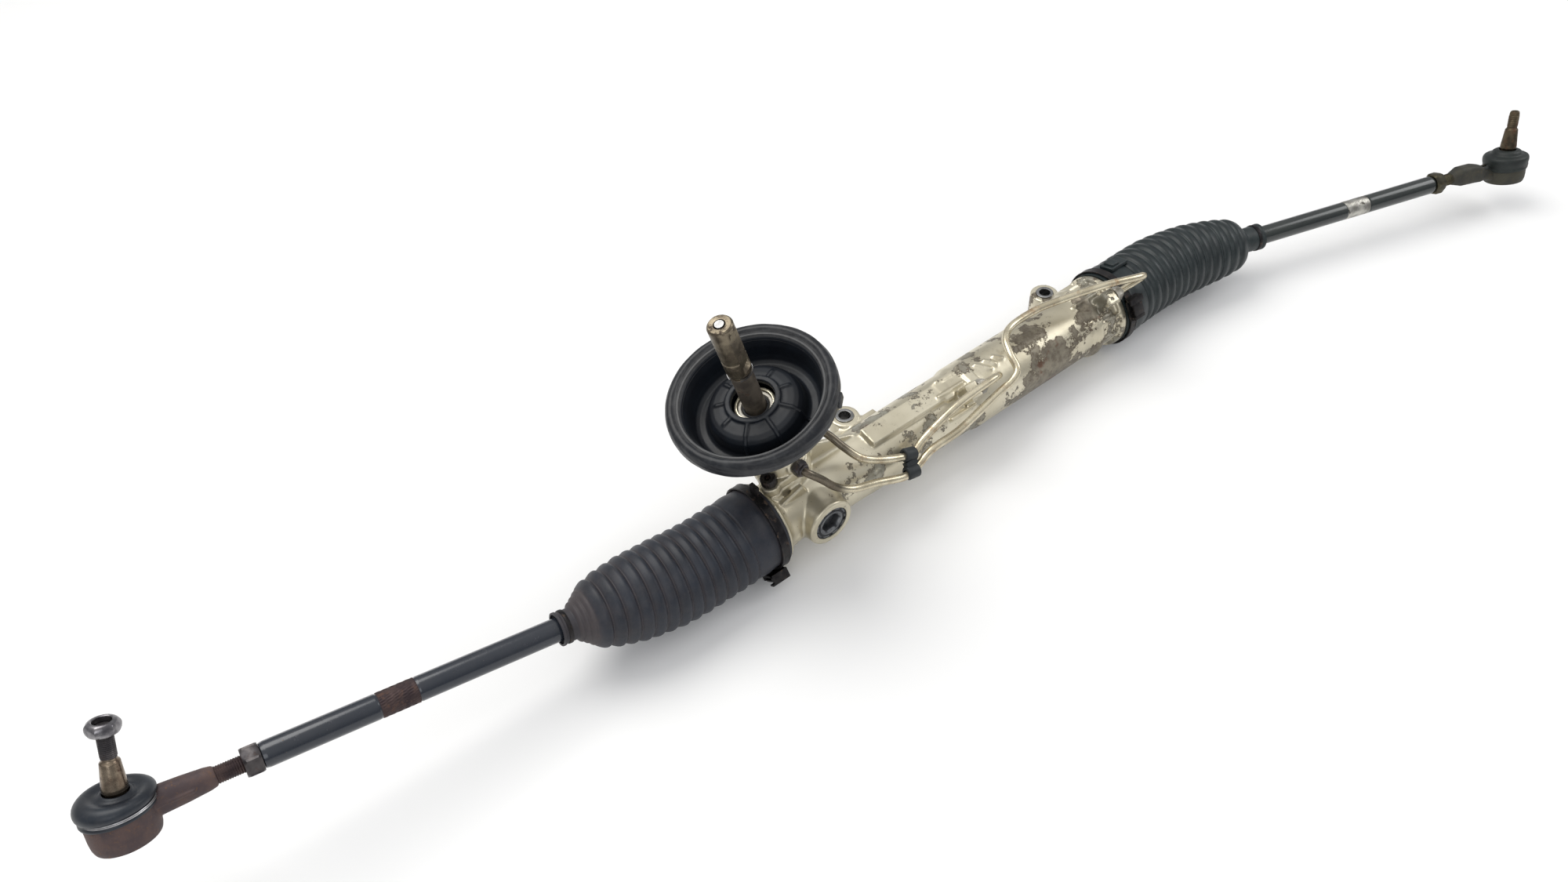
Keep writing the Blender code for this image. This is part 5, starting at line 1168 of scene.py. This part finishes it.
def boot_stations(index):
    """Return a boot's (length, centre, direction, radius, dust) rows and the lengths of its seams."""
    line = boot_line(index)
    lengths = [0.0]
    for a, b in zip(line, line[1:]):
        lengths.append(lengths[-1] + (b - a).length)
    total = lengths[-1]
    seams = [total - (BOOT_END - seam) for seam in BEND_SEAMS[index]]
    even = [total * k / BOOT_ROWS for k in range(BOOT_ROWS + 1)]
    marks = sorted({round(mark, 4) for mark in even + seams})
    coordinates = np.array([tuple(p) for p in line]).T

    def on_line(mark):
        return np.array([np.interp(mark, lengths, values) for values in coordinates])

    rows = []
    for mark in marks:
        ahead = Vector(on_line(min(mark + 1.0, total)) - on_line(max(mark - 1.0, 0.0)))
        if mark >= total - (BOOT_END - STRAIGHT_FROM):
            ahead = ROD_DIRECTIONS[index].copy()
        radius, dust = boot_profile(index, mark / total)
        rows.append((mark, Vector(on_line(mark)), ahead.normalized(), radius, dust))
    softened = []
    for k, (mark, centre, ahead, _, dust) in enumerate(rows):
        near = rows[max(0, k - 1):k + 2]
        softened.append((mark, centre, ahead, sum(row[3] for row in near) / len(near), dust))
    return softened, seams


def boot_part(name, rows):
    """Make one part of a boot from its rows; return it with a function that gives its dust."""
    outer = [ring_points(centre, ahead, radius, BOOT_SEGMENTS) for _, centre, ahead, radius, _ in rows]
    inner = [ring_points(centre, ahead, max(ROD_RADIUS + 0.3, radius - BOOT_WALL), BOOT_SEGMENTS)
             for _, centre, ahead, radius, _ in reversed(rows)]
    builder = bmesh.new()
    add_rings(builder, outer + inner, closed=True)
    kept = {}
    for row, ring in zip(rows, outer):
        for point in ring:
            kept[tuple(round(c, 1) for c in point)] = row[4]

    def dust(point):
        return kept.get(tuple(round(c, 1) for c in point), 0.4)

    return make_piece(name, builder, 60.0), dust


def boots():
    """Bellows in three pieces per side, which meet in the same rings."""
    for index, side in enumerate(SIDES):
        rows, seams = boot_stations(index)
        bounds = [0.0, round(seams[0], 4), round(seams[1], 4), rows[-1][0]]
        for part, ending in enumerate(("_fixed_part", "_swing_part", "_rod_part")):
            chosen = [row for row in rows if bounds[part] - 1e-6 <= row[0] <= bounds[part + 1] + 1e-6]
            thing, dust = boot_part("boot_" + side + ending, chosen)
            dress_rubber(thing, None, "boot_" + side, dust, ("boot_" + side,) if part == 0 else ())
            start, stop = chosen[0][1], chosen[-1][1]
            if part == 0:
                start = stop - chosen[-1][2] * (seams[0] - FIRST_BEND)
            elif part == 2:
                stop = Vector((BALL_X[index], 0.0, 0.0)) + ROD_DIRECTIONS[index] * BEND_STOPS[index]
            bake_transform(thing)


def ring_points(centre, axis, radius, segments):
    """Points of a circle; every boot ring starts at the same side so that skins don't twist."""
    side = (Z_AXIS - axis * axis.z).normalized()
    other = axis.cross(side)
    return [centre + (side * math.cos(a) + other * math.sin(a)) * radius
            for a in (math.tau * k / segments for k in range(segments))]


def boot_clamps():
    """Band clamps with folded buckles on the big ends, and clips on the small ends."""
    for index, side in enumerate(SIDES):
        outward = -1.0 if index == 0 else 1.0
        place = axis_frame(Vector((SPIGOT_ENDS[index] - outward * 3.0, 0.0, 0.0)), -X_AXIS * outward, Z_AXIS)
        hoop = [(35.6, 0.4), (36.6, 0.0), (37.5, 0.3), (37.2, 1.4), (37.2, 6.6), (37.5, 7.7), (36.6, 8.0),
                (35.6, 7.6), (35.6, 4.0), (35.6, 0.5)]
        builder = bmesh.new()
        add_lathe(builder, rounded(hoop, 0.3), place, 128)
        spin = rotated("X", (140.0, 60.0)[index])
        middle = SPIGOT_ENDS[index] - outward * (1.5, 7.0)[index]
        folds = (((15.0, 22.0, 2.0), (0.0, 0.0, 38.4)), ((15.0, 3.0, 8.0), (0.0, 9.4, 41.4)),
                 ((13.0, 3.0, 6.0), (0.0, -8.6, 40.6)), ((12.0, 15.0, 1.6), (0.0, 1.0, 43.6)),
                 ((17.0, 5.0, 1.6), (-1.0, 8.0, 45.0)))
        for size, shift in folds:
            add_box(builder, size, spin @ moved(middle + shift[0], shift[1], shift[2]))
        band = make_piece("clamp_band_" + side, builder)
        bevel(band, 0.35, 2, 60.0)
        band.data.set_sharp_from_angle(angle=math.radians(35.0))
        dress(band, "housing", "clamp", ("boot_clamp_" + side,))
        low = BOOT_END - 7.5
        wire = [(12.3, low), (12.9, low), (13.1, low + 1.6), (12.9, low + 3.2), (12.3, low + 3.2),
                (12.3, low + 1.6), (12.3, low + 0.1)]
        clip = lathe_piece("clip_spring_" + side, wire, rod_frame(index), 64, 0.3)
        dress(clip, "inner_pad_" + side, "clamp", ("boot_clip_" + side,))


def boot_trims():
    """Tab on the left clamp, and the block moulded on the right boot's band."""
    tab = bmesh.new()
    lean = rotated("X", -4.0)
    add_box(tab, (3.4, 8.0, 11.0), lean @ moved(-45.0, 0.0, 39.5))
    dress(make_piece("clamp_tab_left", tab), "housing", "clamp")
    block = bmesh.new()
    lean = rotated("X", -14.0)
    add_box(block, (22.0, 15.0, 4.0), lean @ moved(382.0, 0.0, 36.4))
    add_box(block, (9.0, 11.0, 3.0), lean @ moved(379.0, 0.0, 39.0))
    moulded_block = make_piece("boot_block_right", block)
    bevel(moulded_block, 1.0, 3)
    dress_rubber(moulded_block, "housing", "boot_right", 0.3)


# ---------------------------------------------------------------- tie rods and outer joints

def tie_rods():
    """Coated rods with a rolled band, and their locknuts."""
    for index, side in enumerate(SIDES):
        place = rod_frame(index)
        band_low, band_high = ROD_BANDS[index]
        ball = arc(13.0, 180, 26, -7)
        shaft = [(6.0, 26.0), (9.0, 34.0), (9.0, band_low - 1.0), (8.6, band_low), (8.6, band_high),
                 (9.0, band_high + 1.0), (9.0, 306.0), (8.4, ROD_LENGTH), (6.4, ROD_LENGTH), (6.3, 273.0),
                 (0.0, 273.0)]
        rod = lathe_piece("rod_" + side, ball + shaft, place, 64, 0.5)
        dress(rod, "tie_rod_" + side, "rod_" + side, ("tie_rod_" + side,))
        turns = 0.16 if index == 0 else 0.30

        def roll(angle, height, radius, turns=turns, index=index):
            if radius < 8.7:
                return 0.0
            wave = math.sin(angle * 30.0 + height * turns * 6.0)
            cross = math.sin(angle * 30.0 - height * turns * 2.0) if index == 0 else 0.0
            return 0.14 * wave + 0.08 * cross

        steps = 40
        grip = [(8.5, band_low + 0.2)]
        grip += [(8.95, band_low + 0.6 + (band_high - band_low - 1.2) * k / steps) for k in range(steps + 1)]
        grip += [(8.5, band_high - 0.2), (8.5, band_low + 5.0)]
        band = lathe_piece("rod_grip_" + side, grip, place, 180, 0.0, ripple=roll, smooth_angle=80.0)
        dress(band, "tie_rod_" + side, "rust_thread" if index == 0 else "knurl")
        builder = bmesh.new()
        add_hex_nut(builder, 19.5, 6.4, ROD_LENGTH + 0.3, ROD_LENGTH + 11.3,
                    place @ rotated("Z", (22.0, 8.0)[index]), 1.1)
        dress(make_piece("locknut_detailed_" + side, builder), "tie_rod_" + side,
              "dull" if index == 0 else "olive_steel", ("locknut_" + side,))


def add_shank(builder, rows, place):
    """Add a forged shank with rounded, nearly square sections."""
    rings = []
    for distance, half_tall, half_wide, power, sunk in rows:
        ring = []
        for k in range(48):
            a = math.tau * k / 48
            c, s = math.cos(a), math.sin(a)
            ring.append((half_tall * math.copysign(abs(c) ** (2.0 / power), c) - sunk,
                         half_wide * math.copysign(abs(s) ** (2.0 / power), s), distance))
        rings.append(ring)
    add_rings(builder, rings, place=place)


def tie_rod_ends():
    """Forged cups with their shanks and threads, and the pressed covers below."""
    for index, side in enumerate(SIDES):
        cup = cup_frame(index)
        axis = cup.to_3x3() @ Z_AXIS
        shank = axis_frame(cup.translation, -ROD_DIRECTIONS[index], axis)
        builder = bmesh.new()
        r = CUP_RADII[index]
        shoulder = CUP_SHOULDERS[index]
        foot = CUP_FEET[index]
        lip = CUP_LIPS[index]
        outside = [
            (0.0, foot), (r - 4.2, foot), (r - 1.4, foot + 1.0), (r - 0.4, foot + 4.3), (r, foot + 8.8),
            (r, shoulder - 3.0), (r - 0.8, shoulder - 0.6), (r - 2.6, shoulder + 1.2), (r - 3.4, lip),
            (0.0, lip),
        ]
        add_lathe(builder, outside, cup, 72)
        add_shank(builder, SHANKS[index], shank)
        add_box(builder, (2.0, 3.0, 24.0), shank @ moved(0.0, 7.2, 30.0))
        body = settle(make_piece("rod_end_forging_" + side, builder), 0.6, 4)
        hollow = [(0.0, 12.0), (16.5, 12.0), (12.6, 6.4), (13.6, 3.0), (14.0, 0.0), (14.0, -13.9),
                  (16.0, -13.9), (16.0, -22.0), (0.0, -22.0)]
        carve(body, lathe_piece("cup_hollow", hollow, cup, 64, 0.0))
        look = ("rust_forging", "olive_forging")[index]
        dress(body, "tie_rod_" + side, look, ("tie_rod_end_" + side,))
        start = SHANKS[index][-1][0] - 3.0
        builder = bmesh.new()
        add_thread(builder, 6.0, 1.5, start, OUTER_DISTANCES[index] - 277.0, shank)
        dress(make_piece("rod_end_thread_" + side, builder, 60.0), "tie_rod_" + side,
              "rust_thread" if index == 0 else "olive_steel")
        plate = [(0.0, -14.2), (15.7, -14.2), (15.7, foot + 1.4), (14.8, foot + 0.4), (12.0, foot + 1.0),
                 (6.0, foot + 1.4), (0.0, foot + 1.4)]
        cover = lathe_piece("cup_cover_pressed_" + side, plate, cup, 64, 0.5)
        dress(cover, "tie_rod_" + side, look, ("cup_cover_" + side,))


def dust_boots():
    """Soft boots shaped from the cup's axis towards the stud's, with a wire ring round the cup's top."""
    for index, side in enumerate(SIDES):
        cup = cup_frame(index)
        cup_axis = cup.to_3x3() @ Z_AXIS
        stud_axis = stud_frame(index).to_3x3() @ Z_AXIS
        skin = DUST_BOOTS[index]
        lining = [(1.0, skin[-1][1] - 1.6, DUST_BOOT_BORE)]
        for share, height, radius in reversed(skin[:-1]):
            if height > 9.3:
                lining.append((share, height - 1.0, max(DUST_BOOT_BORE, radius - 1.6)))
            elif 8.3 < height <= 9.0:
                lining.append((share, height, radius - 1.5))
        close = CUP_RADII[index] + 0.15
        lining += [(0.0, 8.2, close - 1.0), (0.0, 6.0, close), (0.0, skin[0][1], close)]
        rings = []
        for share, height, radius in list(skin) + lining:
            axis = cup_axis.lerp(stud_axis, share).normalized()
            rings.append(ring_points(cup.translation + axis * height, axis, radius, 96))
        builder = bmesh.new()
        add_rings(builder, rings, closed=True)
        thing = make_piece("dust_boot_skin_" + side, builder, 70.0)
        smooth = thing.modifiers.new("smooth", "SUBSURF")
        smooth.levels = 1
        bake_modifiers(thing)
        look = ("dust_boot", "dust_boot_right")[index]
        dress_rubber(thing, None, look, 0.30, ("dust_boot_" + side,))
        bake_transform(thing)
        builder = bmesh.new()
        middle = (7.0, -1.9)[index]
        sink = cup.inverted().to_3x3() @ Vector(((0.75, -0.45, 0.0), (0.9, 0.2, 0.0))[index])
        wide = CUP_RADII[index] + 0.8
        for height in (middle - 0.5, middle + 0.5):
            wire = []
            for k in range(97):
                a = math.radians(12.0 + 348.0 * k / 96)
                wire.append(cup @ Vector((wide * math.cos(a) + sink.x, wide * math.sin(a) + sink.y, height)))
            add_rings(builder, sweep_rings(wire, 0.5, 10))
        dress(make_piece("ring_wire_" + side, builder), "tie_rod_" + side, ("bright", "dull")[index],
              ("dust_boot_ring_" + side,))


def ball_studs():
    """Ball, polished taper and thread of each stud, and the nut on the left one."""
    for index, side in enumerate(SIDES):
        place = stud_frame(index)
        tip = STUD_LENGTHS[index]
        ball = arc(11.0, 180, 34, -7)
        drop = (0.0, 3.5)[index]
        taper = [(6.3, 17.0 - drop), (7.4, 19.0 - drop), (7.5, 21.0 - drop), (5.9, 38.0 - drop),
                 (5.3, 38.6 - drop), (4.6, 39.6 - drop), (4.6, 41.0), (0.0, 41.0)]
        stud = lathe_piece("stud_" + side, ball + taper, place, 64, 0.4)
        dress(stud, "stud_" + side, ("taper", "old_stud")[index], ("ball_stud_" + side,))
        builder = bmesh.new()
        end = 62.0 if index == 0 else tip - 6.5
        add_thread(builder, 5.0, 1.25, 40.4 - drop, end, place, 0.5)
        if index == 1:
            socket = [
                (0.0, end - 0.5), (4.6, end - 0.5), (4.6, end + 1.0), (4.3, end + 2.0), (4.0, tip - 3.4),
                (3.2, tip - 2.8), (2.6, tip - 2.8), (2.0, tip - 5.2), (0.0, tip - 5.2),
            ]
            add_lathe(builder, rounded(socket, 0.5), place, 40)
        dress(make_piece("stud_thread_" + side, builder, 60.0), "stud_" + side,
              ("dull", "old_stud")[index])
    low = STUD_NUT_LOW
    rows = (
        (5.3, low, 0.0), (7.4, low, 0.0), (8.9, low + 0.7, 0.1), (9.5, low + 1.8, 0.5),
        (9.6, low + 3.2, 0.9), (9.6, low + 5.2, 1.0), (9.3, low + 6.6, 0.8), (8.6, low + 7.8, 0.3),
        (7.4, low + 8.5, 0.0), (6.2, low + 8.6, 0.0), (5.6, low + 8.2, 0.0), (5.3, low + 6.6, 0.0),
    )

    def shape(k, turn, radius, corner):
        return radius + (hex_radius(turn, 2.0 * radius) - radius) * 0.6 * corner - 0.35 * corner, 0.0

    builder = bmesh.new()
    add_shaped(builder, rows, 96, shape, stud_frame(0), closed=True)
    dress(make_piece("stud_nut_flanged", builder), "stud_left", "nut", ("stud_nut_left",))


def hidden_parts():
    """Materials for the pieces inside the housing and the joints, which keep their CAD shape."""
    looks = {
        "ground": ("pinion_gear", "torsion_bar", "rack_bar", "pinion_ball_bearing", "pinion_needle_bearing",
                   "yoke_spring"),
        "dull": ("piston", "inner_joint_housing_left", "inner_joint_housing_right"),
        "bronze": ("rack_bushing", "rack_yoke"),
        "clip": ("rack_seal",),
        "seat": ("inner_ball_seat_left", "inner_ball_seat_right", "inner_thrust_pad_left",
                 "inner_thrust_pad_right", "outer_ball_seat_left", "outer_ball_seat_right"),
    }
    for look, names in looks.items():
        for name in names:
            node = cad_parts[name]
            for place in node.material_slots:
                place.material = LOOKS[look]


# ---------------------------------------------------------------- stage, lights and camera

def stage_floor():
    """Pale floor just under the lowest point."""
    floor_z = cad_box[0].z
    mesh = bpy.data.meshes.new("floor")
    half = 6.0
    mesh.from_pydata([(-half, -half, floor_z), (half, -half, floor_z), (half, half, floor_z),
                      (-half, half, floor_z)], [], [(0, 1, 2, 3)])
    floor = bpy.data.objects.new("floor", mesh)
    bpy.context.scene.collection.objects.link(floor)
    g = Graph("floor_pale")
    mesh.materials.append(g.surface((0.86, 0.86, 0.86), 0.9, 0.0))


def sky():
    """Soft sky, grey below and white above."""
    world = bpy.data.worlds.new("soft_sky")
    bpy.context.scene.world = world
    world.use_nodes = True
    tree = world.node_tree
    back = tree.nodes["Background"]
    place = tree.nodes.new("ShaderNodeTexCoord")
    split = tree.nodes.new("ShaderNodeSeparateXYZ")
    ramp = tree.nodes.new("ShaderNodeValToRGB")
    ramp.color_ramp.elements[0].position = 0.0
    ramp.color_ramp.elements[0].color = (0.30, 0.31, 0.33, 1.0)
    ramp.color_ramp.elements[1].position = 0.9
    ramp.color_ramp.elements[1].color = (1.0, 1.0, 1.0, 1.0)
    tree.links.new(place.outputs["Generated"], split.inputs[0])
    tree.links.new(split.outputs["Z"], ramp.inputs[0])
    tree.links.new(ramp.outputs[0], back.inputs["Color"])
    back.inputs["Strength"].default_value = 0.85


def lamps():
    """Large soft lights: (name, place, target, size, power, colour), in metres and watts."""
    rows = (("key", (-0.3, 0.9, 1.9), (0.15, 0.0, 0.0), 1.6, 26.0, (1.0, 0.985, 0.95)),
            ("fill", (-1.3, -1.6, 1.4), (0.0, 0.0, 0.0), 1.4, 9.0, (0.95, 0.97, 1.0)),
            ("side", (1.9, -0.6, 1.2), (0.4, 0.0, 0.0), 1.0, 9.0, (1.0, 1.0, 1.0)))
    for name, place, target, size, power, colour in rows:
        light = bpy.data.lights.new(name, "AREA")
        light.shape = "DISK"
        light.size = size
        light.energy = power
        light.color = colour
        lamp = bpy.data.objects.new(name, light)
        lamp.location = place
        aim = Vector(target) - Vector(place)
        lamp.rotation_mode = "QUATERNION"
        lamp.rotation_quaternion = aim.to_track_quat("-Z", "Y")
        bpy.context.scene.collection.objects.link(lamp)


def camera():
    """Camera at the viewing angle of a person who stands over the pinion end."""
    data = bpy.data.cameras.new("camera")
    data.sensor_width = 36.0
    data.lens = CAMERA_LENS
    data.clip_start = 0.01
    data.clip_end = 50.0
    seen = bpy.data.objects.new("camera", data)
    right = Vector(CAMERA_RIGHT).normalized()
    back = Vector(CAMERA_BACK).normalized()
    up = back.cross(right).normalized()
    right = up.cross(back)
    turn = Matrix((right, up, back)).transposed().to_4x4()
    seen.matrix_world = Matrix.Translation(CAMERA_PLACE) @ turn
    bpy.context.scene.collection.objects.link(seen)
    bpy.context.scene.camera = seen


camera()
stage_floor()
sky()
lamps()
hidden_parts()
housing()
valve_cover()
flange_bolt(0)
flange_bolt(1)
yoke_plug()
small_turned_parts()
dish()
rim()
input_shaft()
pipes()
pipe_clip()
boots()
boot_clamps()
boot_trims()
tie_rods()
tie_rod_ends()
dust_boots()
ball_studs()

bpy.context.scene.view_settings.view_transform = "Standard"
